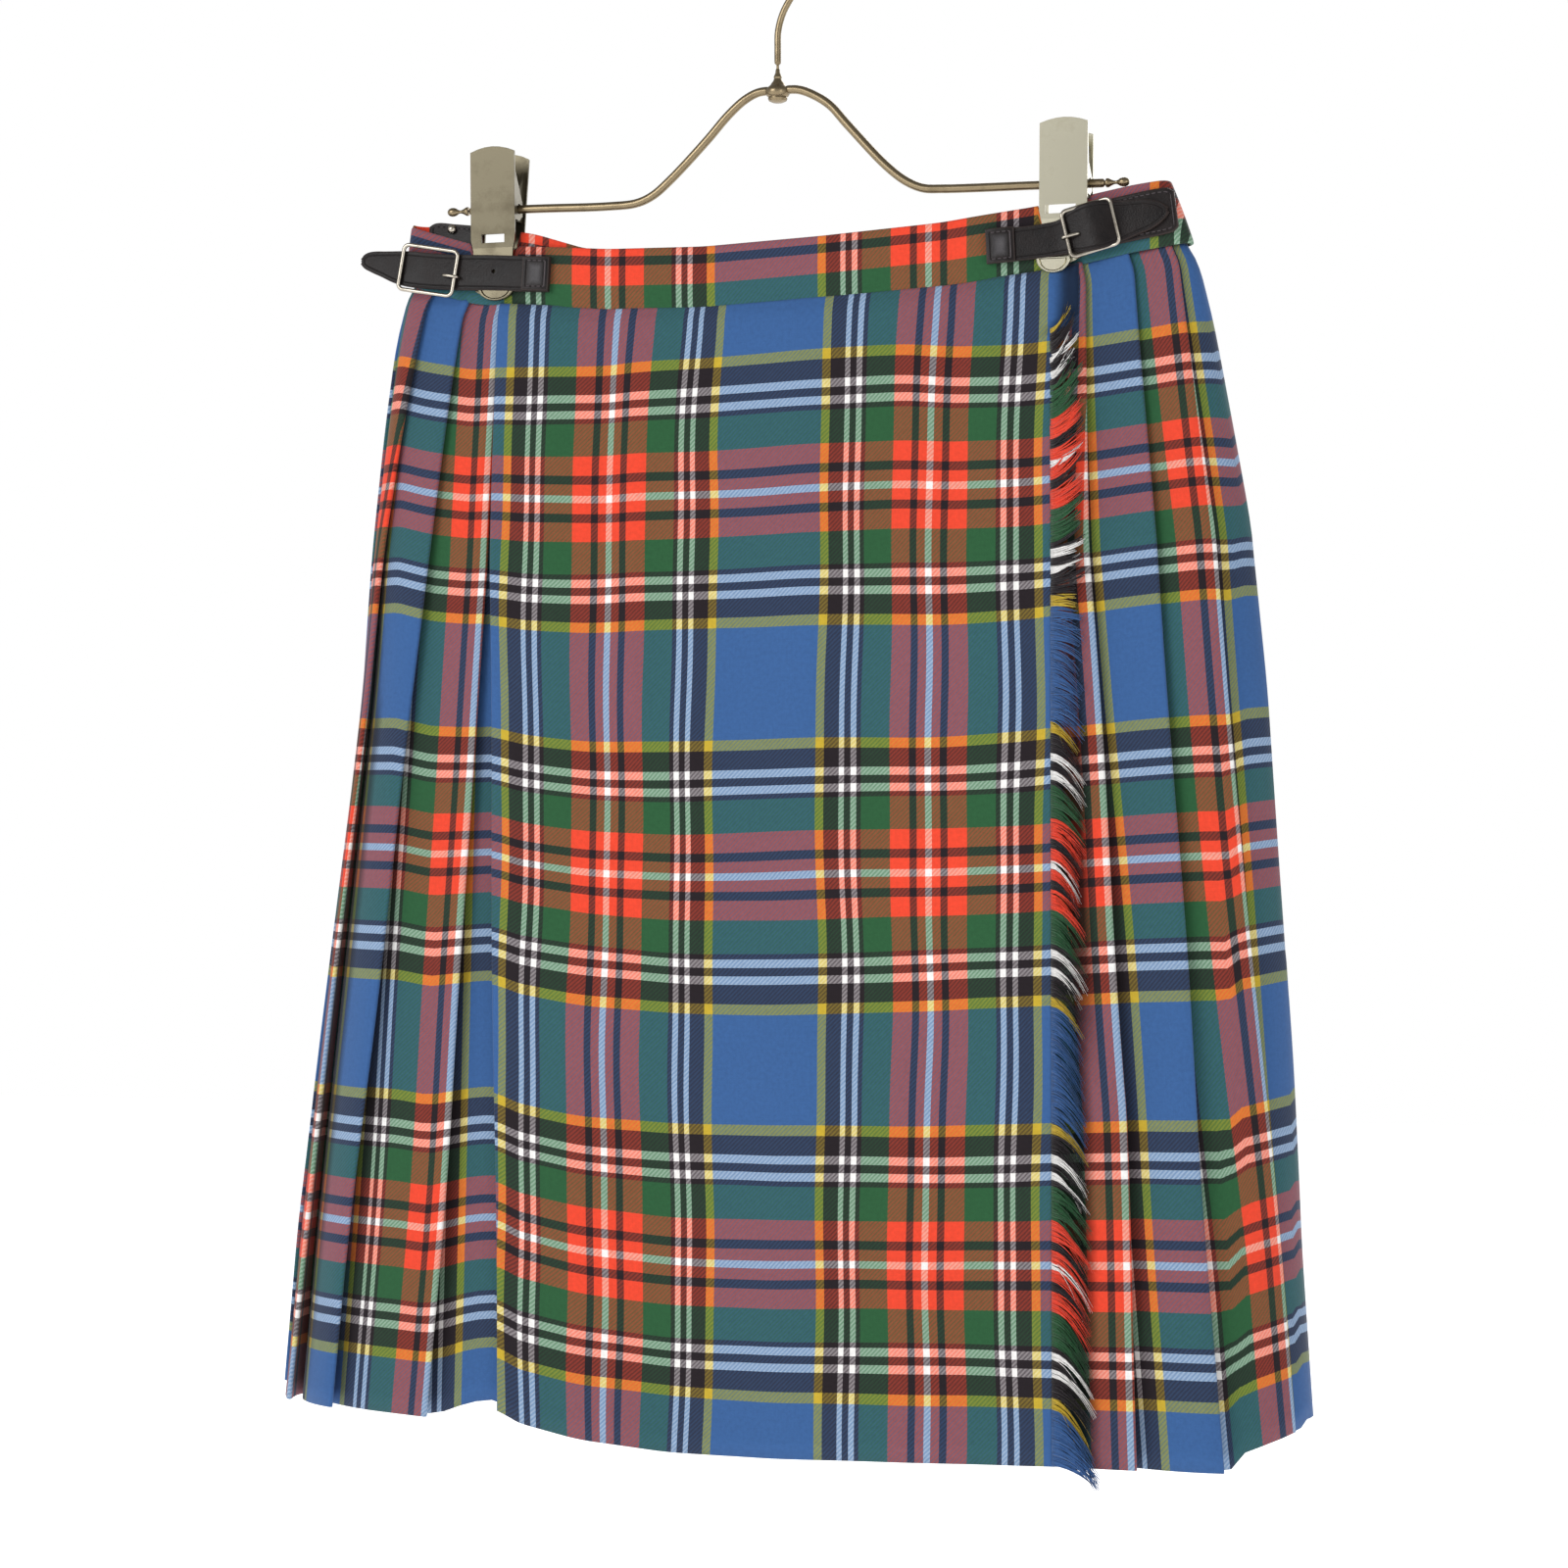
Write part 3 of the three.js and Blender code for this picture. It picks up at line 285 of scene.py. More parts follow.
def tartan(name):
    material, tree, shader = new_finish(name)
    cloth = tree.node("ShaderNodeUVMap", {"uv_map": "flat"})
    across, down = cloth.part(0) / MM, cloth.part(1) / MM
    column, row = across / THREAD, down / THREAD
    step = (column.math("FLOOR") + row.math("FLOOR")) / 4
    warp_over = step.math("FRACT").math("LESS_THAN", 0.49)
    softened = warp_over * 0.2 + 0.4

    def heather(first, second):
        at = tree.node("ShaderNodeCombineXYZ", None, {0: first, 1: second})
        return at.noise(1.0, 2.0) * 0.2 + 0.9

    woven = as_light(softened.blend(stripes(down, DOWN), stripes(across, ACROSS)))
    uneven = warp_over * heather(column, row * 0.06) + (1 - warp_over) * heather(column * 0.06, row)
    worn, nap = cloth.noise(9.0, 3.0) * 0.10 + 0.95, cloth.noise(520.0, 2.0) * 0.3 + 0.85
    # Painted shade: each point's painted shade, 0 to 1, darkens the woven colour where the apron's edge and a gaping
    # fold keep light off.
    covered = tree.node("ShaderNodeAttribute", {"attribute_name": "covered"}, None, 2)
    feed(shader, "Base Color", woven.shaded(uneven * worn * nap * (1 - covered * PAINTED_SHADE_DEPTH)))
    feed(shader, "Roughness", worn * 0.6 + 0.26)
    feed(shader, "Sheen Weight", 0.12)
    feed(shader, "Sheen Roughness", 0.45)
    feed(shader, "Specular IOR Level", 0.2)
    across_thread = (column * math.pi).math("SINE").math("ABSOLUTE")
    down_thread = (row * math.pi).math("SINE").math("ABSOLUTE")
    relief = warp_over * across_thread + (1 - warp_over) * down_thread
    feed(shader, "Normal", bumpy(tree, relief, 0.0001, 0.2))
    return material


tartan_finish = tartan("tartan_twill")
print("half repeat across and down:", round(HALF_ACROSS, 1), round(HALF_DOWN, 1), "mm")

# %% [markdown]
# The skirt hangs as a flat oval tube, so its form is a ring at each height. The tables below give
# that ring from the waist seam to the hem, where each fold edge runs, and how the cloth rises
# towards the two clips. They could be drawn by hand as curves, but a table keeps every piece on the
# same form, as a tailor's chart does, and the pleats, the aprons and the band all read from it.

# %% The skirt's form in tables
# Columns: height, reach to the left, right, front and back, stack of pleats, depth of one fold.
SECTIONS = np.array([
    (255.5, 187, 190, -4, 9, 4.6, 12.5), (230, 194, 196, -7, 17, 5.6, 15), (190, 201, 202.5, -9.5, 28, 6.8, 17),
    (130, 210, 213, -12.5, 41, 8.0, 18), (60, 218, 220.5, -14, 53, 9.2, 19), (-20, 230.5, 224, -15, 65, 10.2, 20),
    (-105, 243.5, 228.5, -16, 77, 11.2, 20.5), (-190, 256, 231, -17, 87, 12.2, 21),
    (-269.5, 265, 236, -18, 94, 13, 21)])
SEAM, HIP, KNEE, HEM = 255.5, 129.0, -118.0, -269.5
# Columns: distance to the right at the seam, the hip and the hem.
EDGES = {"apron_left": (-137.5, -138.5, -132.5), "apron_right": (128.5, 130.5, 132.5), "tuck": (-119, -119, -112),
         "under_left": (-146, -148, -150), "under_right": (104, 104, 104), "last_fold": (-120, -122.5, -130.5)}
RIGHT_FOLDS = [(142, 145.2, 168.3, 164), (163.5, 176, 206), (183, 202, 232.5)]
LEFT_FOLDS = [(-174, -196.5, -250.5), (-156, -171.5, -220), (-138, -141, -169)]
# Columns: place to the right, cloth taken up at the seam there.
SIDE_EASE = [(-200, 9.7), (-150, 6), (-100, 2.5), (-60, 0), (60, 0), (105, 4.9), (165, 8.7)]
PLEATS = 25
# How far each fold edge lies past its line of the tartan, at the seam, the hip and the hem.
PAST_LINE = {0: (-4, 0.5, 1.8), 1: (-6, 1, -0.9, -1.9), 2: (-3, 0.3, 0.5), 3: (-9, -7, -2), 22: (-9, -2.5, 0.3),
             23: (-1, 0, 0), 24: (1.7, 1.6, 0.5)}
# Columns: place to the right, rise above the middle.
SEAM_RISE = [(-187, 18), (-176, 14), (-151, 6.5), (-120, 4.1), (-84, 1.1), (-37, 0), (19, 2), (76, 4.5),
             (121, 8.5), (163, 15.5), (198, 20)]
WAIST_RISE = [(-187, 18), (-176, 14), (-151, 6.5), (-120, 4.1), (-84, 1.1), (-37, 0), (19, 2.1), (76, 5.3),
              (121, 10.8), (163, 17.5), (198, 21)]
BACK_WAIST_RISE = [(-187, 18), (-176, 17.5), (-158, 16.5), (-123, 11), (-95, 2)] + WAIST_RISE[5:]
APRON_HEM_RISE = [(-133, 18), (-128, 12.5), (-112, 8.5), (-92, 4.5), (-50, 0.5), (0, 0), (133, 2.5)]
FRONT_HEM_RISE = [(-265, 19), (-250, 13), (-220, 13), (-169, 11), (-150, 18), (-137, 20), (-100, 8), (0, 3),
                  (170, 2), (208, 1), (210, 8), (232, 16.5), (236, 20)]
BACK_HEM_RISE = [(-265, 19), (-180, 13), (0, 8), (160, 13), (236, 20)]


def read(table, x, spread=0.0):
    """Looks x up in a table of (x, value), with its corners rounded over a spread."""
    xs, values = zip(*table)
    return np.mean([np.interp(np.asarray(x, float) + d, xs, values) for d in np.linspace(-spread, spread, 7)], axis=0)


def section(z):
    """Reach, depth, stack and fold at a height, rounded between the table's rows."""
    rows = np.vstack([2 * SECTIONS[0] - SECTIONS[1], SECTIONS, 2 * SECTIONS[-1] - SECTIONS[-2]])[::-1]
    return [float(read(list(zip(rows[:, 0], rows[:, i])), z, 12.0)) for i in range(1, 7)]


def edge_at(edge, z):
    """An edge's place at a height, from its places at seam, hip, hem and, where it bends, the knee."""
    seam, hip, hem, *knee = edge
    if knee:
        return float(np.interp(z, [HEM, KNEE, HIP, SEAM], [hem, knee[0], hip, seam]))
    return float(np.interp(z, [HEM, HIP, SEAM], [hem, hip, seam]))


def smooth(t):
    t = np.clip(t, 0, 1)
    return t * t * (3 - 2 * t)


def down_cloth(z, x, ease=4.0):
    """Distance down the cloth's own length, which is eased where the band rises to the clips."""
    eased = ease * math.sin(math.pi * min(1.0, (SEAM - z) / 280)) * smooth((np.abs(x + 12) - 15) / 110)
    eased += read(SIDE_EASE, x, 8.0) * (1 - smooth((SEAM - z) / 190))
    return SEAM - z + HALF_DOWN - eased


def hang(z, x, hem_rise, spread=7.0):
    """The height of a point of the section at z, with the curves of waist and hem."""
    down = (SEAM - z) / (SEAM - HEM)
    return z + (1 - down) * read(SEAM_RISE, x, spread) + down * read(hem_rise, x, spread)


print("pleats:", PLEATS, "seam to hem:", SEAM - HEM, "mm")

# %% [markdown]
# The oval at one height is followed by its length, so a fold or an edge has a place on it, and a
# level says how far a point stands out from it. That is how a tailor measures round a body.

# %% The ring at one height
class Ring:
    """A flat oval with half-elliptic ends, followed anticlockwise from its front middle."""
    STEPS = 1200

    def __init__(self, left, right, front, back, stretch=0.0, pinch=None):
        self.middle = (front + back) / 2
        half = (back - front) / 2
        end = half * (1 + stretch)
        run, arc = right + left - 2 * end, math.pi * (half + end) / 2
        s = np.linspace(0, 2 * run + 2 * arc, self.STEPS + 1)
        turn = np.pi * np.clip((s - run / 2) / arc, 0, 1)
        turn_back = np.pi * np.clip((s - 1.5 * run - arc) / arc, 0, 1)
        on_front_right, on_front_left = s < run / 2, s >= 1.5 * run + 2 * arc
        on_back = (s >= run / 2 + arc) & (s < 1.5 * run + arc)
        x = np.where(on_front_right, (right - left) / 2 + s, right - end + end * np.sin(turn))
        x = np.where(on_back, right - end - (s - run / 2 - arc), x)
        x = np.where(s >= 1.5 * run + arc, -left + end - end * np.sin(turn_back), x)
        x = np.where(on_front_left, -left + end + (s - 1.5 * run - 2 * arc), x)
        y = np.where(s < 1.5 * run + arc, -half * np.cos(turn), half * np.cos(turn_back))
        if pinch is not None:
            y = y * pinch(x)
        self.x, self.y = x, self.middle + y
        self.s = np.concatenate([[0], np.cumsum(np.hypot(np.diff(self.x), np.diff(self.y)))])
        self.length = self.s[-1]

    def place(self, s, level=0.0):
        """Points at distances s round the ring, moved out by their levels."""
        def at(distance):
            wrapped = np.mod(distance, self.length)
            return np.interp(wrapped, self.s, self.x), np.interp(wrapped, self.s, self.y)

        step = 2.5 * self.length / self.STEPS
        (x0, y0), (x1, y1), (x, y) = at(s - step), at(s + step), at(s)
        along = np.hypot(x1 - x0, y1 - y0)
        return x + level * (y1 - y0) / along, y - level * (x1 - x0) / along

    def front(self, x):
        """Distance round to the front point at x; left of the middle it is less than zero."""
        half = self.STEPS // 2
        if x >= self.x[0]:
            on = [i for i in range(half) if self.y[i] <= self.middle]
            return float(np.interp(x, self.x[on], self.s[on]))
        on = [i for i in range(half, self.STEPS + 1) if self.y[i] <= self.middle]
        return float(np.interp(x, self.x[on], self.s[on])) - self.length


def skirt_ring(z):
    left, right, front, back, _, _ = section(z)
    return Ring(left, right, front, back, 0.25 * (SEAM - z) / (SEAM - HEM))


print("round the hem:", round(skirt_ring(HEM).length), "mm, round the seam:", round(skirt_ring(SEAM).length), "mm")

# %% [markdown]
# Cloth has a thickness that shows at a hem. A Solidify modifier could give it, but at a sharp fold it
# pinches, so each piece is made as a grid of middle points and both faces are set off from it along
# the grid's own normals. Every grid point also says where it lies in the flat cloth, which becomes
# the map that the tartan reads.

# %% A wall of cloth from a grid
def closed_wall(name, grid, flat, thickness, finish, slot, rim_rows=0, covered=None):
    """grid: rows x columns x 3 in mm, flat: rows x columns x 2 in mm, painted shade: rows x columns, 0 to 1."""
    rows, columns = grid.shape[:2]
    down, along = np.gradient(grid, axis=0), np.gradient(grid, axis=1)
    normal = np.cross(down, along)
    normal /= np.maximum(np.linalg.norm(normal, axis=2, keepdims=True), 1e-9)
    reach = np.full((rows, columns, 1), thickness / 2)
    if rim_rows:
        edge = np.minimum(np.arange(rows), np.arange(rows)[::-1]) / rim_rows
        reach[:, :, 0] *= np.sqrt(1 - (1 - np.clip(edge, 0, 1)) ** 2 * 0.9)[:, None]
    points = np.concatenate([(grid + normal * reach).reshape(-1, 3), (grid - normal * reach).reshape(-1, 3)])
    index = np.arange(rows * columns).reshape(rows, columns)
    inner = index + rows * columns
    quads = [np.stack([index[:-1, :-1], index[1:, :-1], index[1:, 1:], index[:-1, 1:]], -1).reshape(-1, 4),
             np.stack([inner[:-1, :-1], inner[:-1, 1:], inner[1:, 1:], inner[1:, :-1]], -1).reshape(-1, 4),
             np.stack([inner[:-1, 0], inner[1:, 0], index[1:, 0], index[:-1, 0]], -1),
             np.stack([index[:-1, -1], index[1:, -1], inner[1:, -1], inner[:-1, -1]], -1),
             np.stack([index[0, :-1], index[0, 1:], inner[0, 1:], inner[0, :-1]], -1),
             np.stack([inner[-1, :-1], inner[-1, 1:], index[-1, 1:], index[-1, :-1]], -1)]
    faces = np.concatenate(quads)
    mesh = bpy.data.meshes.new(name)
    mesh.from_pydata(((points + ZERO) * MM).tolist(), [], faces.tolist())
    cloth = mesh.uv_layers.new(name="flat")
    flat_points = np.concatenate([flat.reshape(-1, 2)] * 2) * MM
    cloth.data.foreach_set("uv", flat_points[faces.reshape(-1)].astype(np.float32).reshape(-1))
    if covered is not None:
        # The painted shade is stored on each point, for the tartan to darken its colour by.
        painted_shade_layer = mesh.attributes.new("covered", "FLOAT", "POINT")
        painted_shade_layer.data.foreach_set("value", np.concatenate([covered.reshape(-1)] * 2).astype(np.float32))
    on_sides = 2 * (rows - 1) * (columns - 1)
    mesh.polygons.foreach_set("use_smooth", [i < on_sides or rim_rows > 0 for i in range(len(faces))])
    mesh.update()
    piece = added(name, mesh)
    piece.data.materials.append(finish)
    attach(piece, "root")
    return piece


print("cloth helper ready")

# %% [markdown]
# Twenty-five knife pleats run from under the front edge, round the right side and the back, to the
# left. In each one the cloth goes out to a fold edge, turns back under itself, turns again and goes
# on below the next. They could be pressed by a cloth simulation, but a pressed pleat is a made form,
# so each height gets one line of cloth with small round bends, and the lines are joined down the
# skirt. Half a repeat of the tartan goes into each pleat, so the fold edges carry a white line and
# the middle of the blue in turn.

# %% The line of one height of pleats
ROWS = np.concatenate([SEAM - np.array([0.3, 2, 4, 7, 11, 16]), np.linspace(SEAM - 23, HEM, 62)])
BEND, FACE_STEPS, RETURN_STEPS = 0.75, 9, 4
UNEVEN = [random.uniform(-1, 1) for _ in range(PLEATS + 2)]


def fold_places(ring, z):
    right = [ring.front(edge_at(edge, z)) for edge in RIGHT_FOLDS]
    left = [ring.front(edge_at(edge, z)) + ring.length for edge in LEFT_FOLDS]
    turning = list(np.linspace(right[-1], left[0], PLEATS - 6 + 2)[1:-1])
    down = (SEAM - z) / (SEAM - HEM)
    waver = [down ** 0.5 * (0.9 * math.sin(z / 71 + 1.7 * k) + 0.5 * math.sin(z / 33 + 2.9 * k))
             for k in range(PLEATS)]
    return [fold + shift for fold, shift in zip(right + turning + left, waver)]


def pleat_line(z, first, last):
    """Places round, levels and the cloth's own width, from the middle of face first to that of face last."""
    ring = skirt_ring(z)
    _, _, _, _, stack, depth = section(z)
    folds = fold_places(ring, z)
    down = (SEAM - z) / (SEAM - HEM)
    free = ring.front(edge_at(EDGES["last_fold"], z)) + ring.length
    s, level, across = [], [], []

    def face(k):
        begin = ring.front(edge_at(EDGES["under_right"], z)) if k == 0 else folds[k - 1] - depth + BEND
        end = ring.front(edge_at(EDGES["tuck"], z)) + ring.length if k == PLEATS else folds[k] - BEND
        pivot = free if k == PLEATS else folds[k]
        low = 0.0 if k == 0 else -stack
        high = -0.4 if k == PLEATS else 0.0
        past = edge_at(PAST_LINE[k], z) if k in PAST_LINE else 0.8 * UNEVEN[k]
        return begin, end, low, high, lambda at: k * HALF_ACROSS + past - (pivot - at)

    for k in range(first, last + 1):
        begin, end, low, high, width_at = face(k)
        t = np.linspace(0.5 if k == first and k > 0 else 0, 0.5 if k == last and k < PLEATS else 1, FACE_STEPS + 1)
        places = begin + (end - begin) * t
        bow = 1.3 * down * (0.6 + 0.5 * UNEVEN[k]) * np.sin(np.pi * t)
        s += list(places)
        level += list(low + (high - low) * t + bow)
        across += [width_at(at) for at in places]
        if k == last:
            break
        next_begin, _, _, _, next_width = face(k + 1)
        turn = np.linspace(math.pi / 2, -math.pi / 2, 6)[1:-1]
        outer_s, outer_level = folds[k] - BEND + BEND * np.cos(turn), -BEND + BEND * np.sin(turn)
        back = np.linspace(0, 1, RETURN_STEPS + 1)
        back_s = folds[k] - BEND - (depth - 2 * BEND) * back
        back_level = -2 * BEND + (-stack + 4 * BEND) * back
        turn = np.linspace(math.pi / 2, 1.5 * math.pi, 6)[1:-1]
        inner_s, inner_level = next_begin + BEND * np.cos(turn), -stack + BEND + BEND * np.sin(turn)
        s += [*outer_s, *back_s, *inner_s]
        level += [*outer_level, *back_level, *inner_level]
        far = width_at(folds[k])
        near = next_width(next_begin)
        across += [*(far + BEND * (0.3 * np.arange(4))), *(far + 1.5 + (near - far - 2.5) * back)]
        across += [near - 0.5] * 4
    return ring, np.array(s), np.array(level), np.array(across)


ring, s, level, across = pleat_line(HEM, 0, PLEATS)
print("one height has", len(s), "points and", round(across[-1] - across[0]), "mm of cloth in",
      round(s[-1] - s[0]), "mm")

# %% [markdown]
# The lines of all heights make three pieces: to the right, round the back and to the left. Light
# hardly reaches the cloth beside the apron's fringe and inside the fold that gapes on the left, and
# a soft panel alone leaves them too pale. So each point also carries a painted shade that darkens
# its colour there.

# %% Pleats to the right, round the back and to the left
def under_the_band(x, y, z):
    """Draws the top of the skirt in, so that the band covers it."""
    v = SEAM - z
    y = np.where(y > 2.5, 2.5 + (y - 2.5) * (0.42 + 0.58 * smooth(v / 16)), y)
    return x * (1 - 0.012 * (1 - smooth(v / 10))), y


def painted_shade_at(x, z, front):
    """The painted shade, 0 to 1, beside the apron's edge with its fringe and inside the fold that gapes on the left.
    """
    past = x - edge_at(EDGES["apron_right"], z) - 2
    limit = np.interp(z, [HEM, HIP, SEAM], [17, 7, 1])
    beside = np.where(past < -1, 1.0, smooth(past / 5) * (1 - smooth((past - limit) / 2.5)))
    behind_fold = x - edge_at(LEFT_FOLDS[0], z)
    gape = np.interp(z, [HEM, 40, 110], [9.0, 9.0, 0.0])
    inside = (1 - smooth((behind_fold - gape) / 3)) * (behind_fold > 1.2) * (gape > 0)
    return np.where(front, np.where(x > 100, np.interp(z, [60, HIP], [1.12, 0.8]) * beside, 0.75 * inside), 0.0)


def pleat_grid(first, last):
    grid, flat, covered = [], [], []
    for z in ROWS:
        ring, s, level, across = pleat_line(z, first, last)
        x, y = ring.place(s, level)
        at_back = y > ring.middle
        height = np.where(at_back, hang(z, x, BACK_HEM_RISE, 2), hang(z, x, FRONT_HEM_RISE, 2))
        x, y = under_the_band(x, y, z)
        grid.append(np.stack([x, y, height], -1))
        flat.append(np.stack([across, down_cloth(z, x)], -1))
        covered.append(painted_shade_at(x, z, ~at_back))
    return np.array(grid), np.array(flat), np.array(covered)


RIGHT_CUT, BACK_CUT = 6, 19
CLOTH = 0.95
for name, first, last in (("pleats_right", 0, RIGHT_CUT), ("pleats_back", RIGHT_CUT, BACK_CUT),
                          ("pleats_left", BACK_CUT, PLEATS)):
    grid, flat, covered = pleat_grid(first, last)
    piece = closed_wall(name + "_cloth", grid, flat, CLOTH, tartan_finish, "tartan", covered=covered)
    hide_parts(name)

# %% [markdown]
# Two flat aprons cross at the front. The over apron shows its folded left edge, where it turns back
# under itself, and it runs to the fringe on the right. It is nearly flat, but cloth that hangs from a
# band is never a plane: shallow creases fall from the seam and from the clips. They are listed in a
# table, each with its own width, height and length, because even ripples look machined.

# %% Over apron and under apron
# Columns: place to the right, top, bottom, half width, how far the crease stands out.
CREASES = [(-112, 250, 20, 9, 0.8), (-84, 255, 130, 7, -0.9), (-70, 252, 60, 8, 1.2), (-41, 240, -60, 13, 0.9),
           (-20, 180, -269, 16, -0.8), (12, 255, 40, 12, 1.0), (38, 210, -200, 17, -0.9), (66, 250, 90, 9, 1.1),
           (84, 253, 150, 7, -1.0), (101, 230, -120, 12, 1.1), (119, 200, -269, 8, -0.8), (-125, 60, -269, 6, 1.0),
           (-96, -40, -269, 14, 1.3), (-55, -90, -269, 18, -1.2), (4, -60, -269, 20, 1.2), (60, -80, -269, 16, 1.1),
           (96, -110, -269, 14, -1.0)]
APRON_LEVEL, SEAM_DRAW = 2.9, 1.7  # how far the apron stands out, and how much less at the seam
FLAP_REACH, FLAP_BOTTOM, FLAP_BEND = 11, 224, 9  # the corner under the band that isn't frayed
TURN_STEPS, APRON_STEPS = 6, 130
APRON_LINE, UNDER_LINE = 80.2, -157.0  # the cloth's own width at the middle of the skirt


def grain(x, z):
    """How far the weave strays sideways, as it does in any woven cloth that was worn."""
    return 0.55 * np.sin(z / 27 + x / 61) + 0.6 * np.sin(z / 49 - x / 37 + 1.3) + 0.25 * np.sin(z / 13 + x / 19)


def creases(x, z):
    stand = np.zeros_like(x)
    for place, top, bottom, width, height in CREASES:
        lean = place + 0.02 * (top - z)
        length = smooth((top + 12 - z) / 45) * smooth((z - bottom + 30) / 60)
        stand += height * length * np.exp(-((x - lean) / width) ** 2)
    return stand


def over_apron_grid():
    grid, flat, covered = [], [], []
    for z in ROWS:
        ring = skirt_ring(z)
        tuck, left, right = (ring.front(edge_at(EDGES[edge], z)) for edge in ("tuck", "apron_left", "apron_right"))
        left += 0.5 * math.sin(z / 41) * smooth((SEAM - z) / 200)
        right += FLAP_REACH * float(smooth((z - FLAP_BOTTOM) / FLAP_BEND))
        turn = np.linspace(-math.pi / 2, math.pi / 2, 6)[1:-1]
        s = np.concatenate([np.linspace(tuck, left + BEND, TURN_STEPS), left + BEND - BEND * np.cos(turn),
                            np.linspace(left + BEND, right, APRON_STEPS)])
        under = APRON_LEVEL - 2 * BEND
        level = np.concatenate([np.full(TURN_STEPS, under), under + BEND + BEND * np.sin(turn),
                                np.full(APRON_STEPS, APRON_LEVEL)])
        level -= SEAM_DRAW * (1 - smooth((SEAM - z) / 7))
        x, _ = ring.place(s, 0)
        past = smooth((x - edge_at(EDGES["apron_right"], z) + 1) / 7)
        level = level + creases(x, z) - (1.0 + 1.4 * smooth((SEAM - z) / 12)) * past
        # Painted shade over the unfrayed corner and beside the apron's right edge, stronger near the band.
        covered.append((0.75 + 0.3 * smooth((z - 215) / 12)) * past)
        x, y = ring.place(s, level)
        across = x + APRON_LINE - 4.0 * smooth((z - 175) / 75) * np.exp(-((x + 55) / 45) ** 2) + grain(x, z)
        across[:TURN_STEPS] = 2 * across[TURN_STEPS + 3] - across[:TURN_STEPS]
        grid.append(np.stack([x, y, hang(z, x, APRON_HEM_RISE)], -1))
        flat.append(np.stack([across, down_cloth(z, x) + 0.5 * grain(2 * z, x)], -1))
    return np.array(grid), np.array(flat), np.array(covered)


def under_apron_grid():
    grid, flat = [], []
    for z in ROWS:
        ring = skirt_ring(z)
        stack = section(z)[4]
        left = edge_at(EDGES["under_left"], z)
        x = np.linspace(left, edge_at(EDGES["under_right"], z), 90)
        s = np.array([ring.front(at) for at in x])
        dive = -(4.3 + 0.45 * stack) * np.clip((-60 - x) / (-60 - left), 0, 1)
        x, y = ring.place(s, dive + 0.25 * creases(x + 9, z) - 0.4)
        grid.append(np.stack([x, y, hang(z, x, FRONT_HEM_RISE, 4)], -1))
        flat.append(np.stack([x + UNDER_LINE, np.full_like(x, SEAM - z + HALF_DOWN)], -1))
    return np.array(grid), np.array(flat), np.zeros((len(grid), len(grid[0])))


for name, grid_of, width, over in (("over_apron", over_apron_grid, 0.285, "waistband_front"),
                                   ("under_apron", under_apron_grid, 0.252, "waistband_under")):
    grid, flat, covered = grid_of()
    piece = closed_wall(name + "_cloth", grid, flat, CLOTH, tartan_finish, "tartan", covered=covered)
    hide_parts(name)
    print(name, "is cut", width, "m wide, faces:", len(piece.data.polygons))

# %% [markdown]
# The waistband is a folded strip, 27 mm deep, in three stretches: the front one ends under the right
# strap, the under one steps in behind it, and the back one closes the round. A clip nips it at each
# side, so its two walls come together there. Its edges are rolled, as a fold in wool is, by thinning
# the wall at its first and last rows.

# %% Waistband
BAND_HEIGHT, BAND_WALL, PINCH, BAND_HALF, CLIP_WIDTH = 27.0, 1.6, 3.6, 5.5, 22.0
CLIPS = {"left": (-141.0, 305.3), "right": (132.5, 303.0)}  # place to the right, height of the wire
NIP_DEPTH, NIP_HALF = 9.0, 9.3
BAND_LINE, UNDER_SHIFT = 83.5, 40  # the band's own length at the middle, and more where it steps in


def pinch_at(x):
    near = np.max([1 - smooth((np.abs(x - clip[0]) - CLIP_WIDTH / 2) / 32) for clip in CLIPS.values()], axis=0)
    return 1 + (PINCH / BAND_HALF - 1) * near


def nip_at(x):
    """How far a clip draws the band's top edge down between its jaws."""
    near = np.max([1 - smooth((np.abs(x - clip[0]) - NIP_HALF) / 2.0) for clip in CLIPS.values()], axis=0)
    return NIP_DEPTH * near


def band_grid(stations, rise):
    grid, flat = [], []
    for t in np.concatenate([[1, 0.985, 0.965, 0.93], np.linspace(0.88, 0.12, 9), [0.07, 0.035, 0.015, 0]]):
        ring = Ring(186 - 2.7 * t, 190 - 10.5 * t, -BAND_HALF, BAND_HALF, pinch=pinch_at)
        s, level, across = stations(ring)
        x, y = ring.place(s, level + 0.35 * np.sin(np.pi * t))
        height = SEAM + (1 - t) * (read(SEAM_RISE, x, 5) - 0.9) + t * (BAND_HEIGHT + read(rise, x, 5) - nip_at(x))
        grid.append(np.stack([x, y, height], -1))
        flat.append(np.stack([across, np.full_like(across, 3.2 + BAND_HEIGHT * (1 - t))], -1))
    return np.array(grid), np.array(flat)


def leftmost(ring):
    return ring.s[int(np.argmin(ring.x))] - ring.length


def rightmost(ring):
    return ring.s[int(np.argmax(ring.x))]


def front_stations(ring):
    s = np.linspace(leftmost(ring), ring.front(130), 170)
    return s, 0 * s, ring.place(s)[0] + BAND_LINE


def back_stations(ring):
    s = np.linspace(rightmost(ring), leftmost(ring) + ring.length, 190)
    return s, 0 * s, s + 80


def under_stations(ring):
    s = np.linspace(ring.front(-151), rightmost(ring), 170)
    inwards = smooth((ring.front(148) - s) / (ring.front(148) - ring.front(128)))
    return s, -3.6 * inwards, ring.place(s)[0] + BAND_LINE + UNDER_SHIFT * inwards


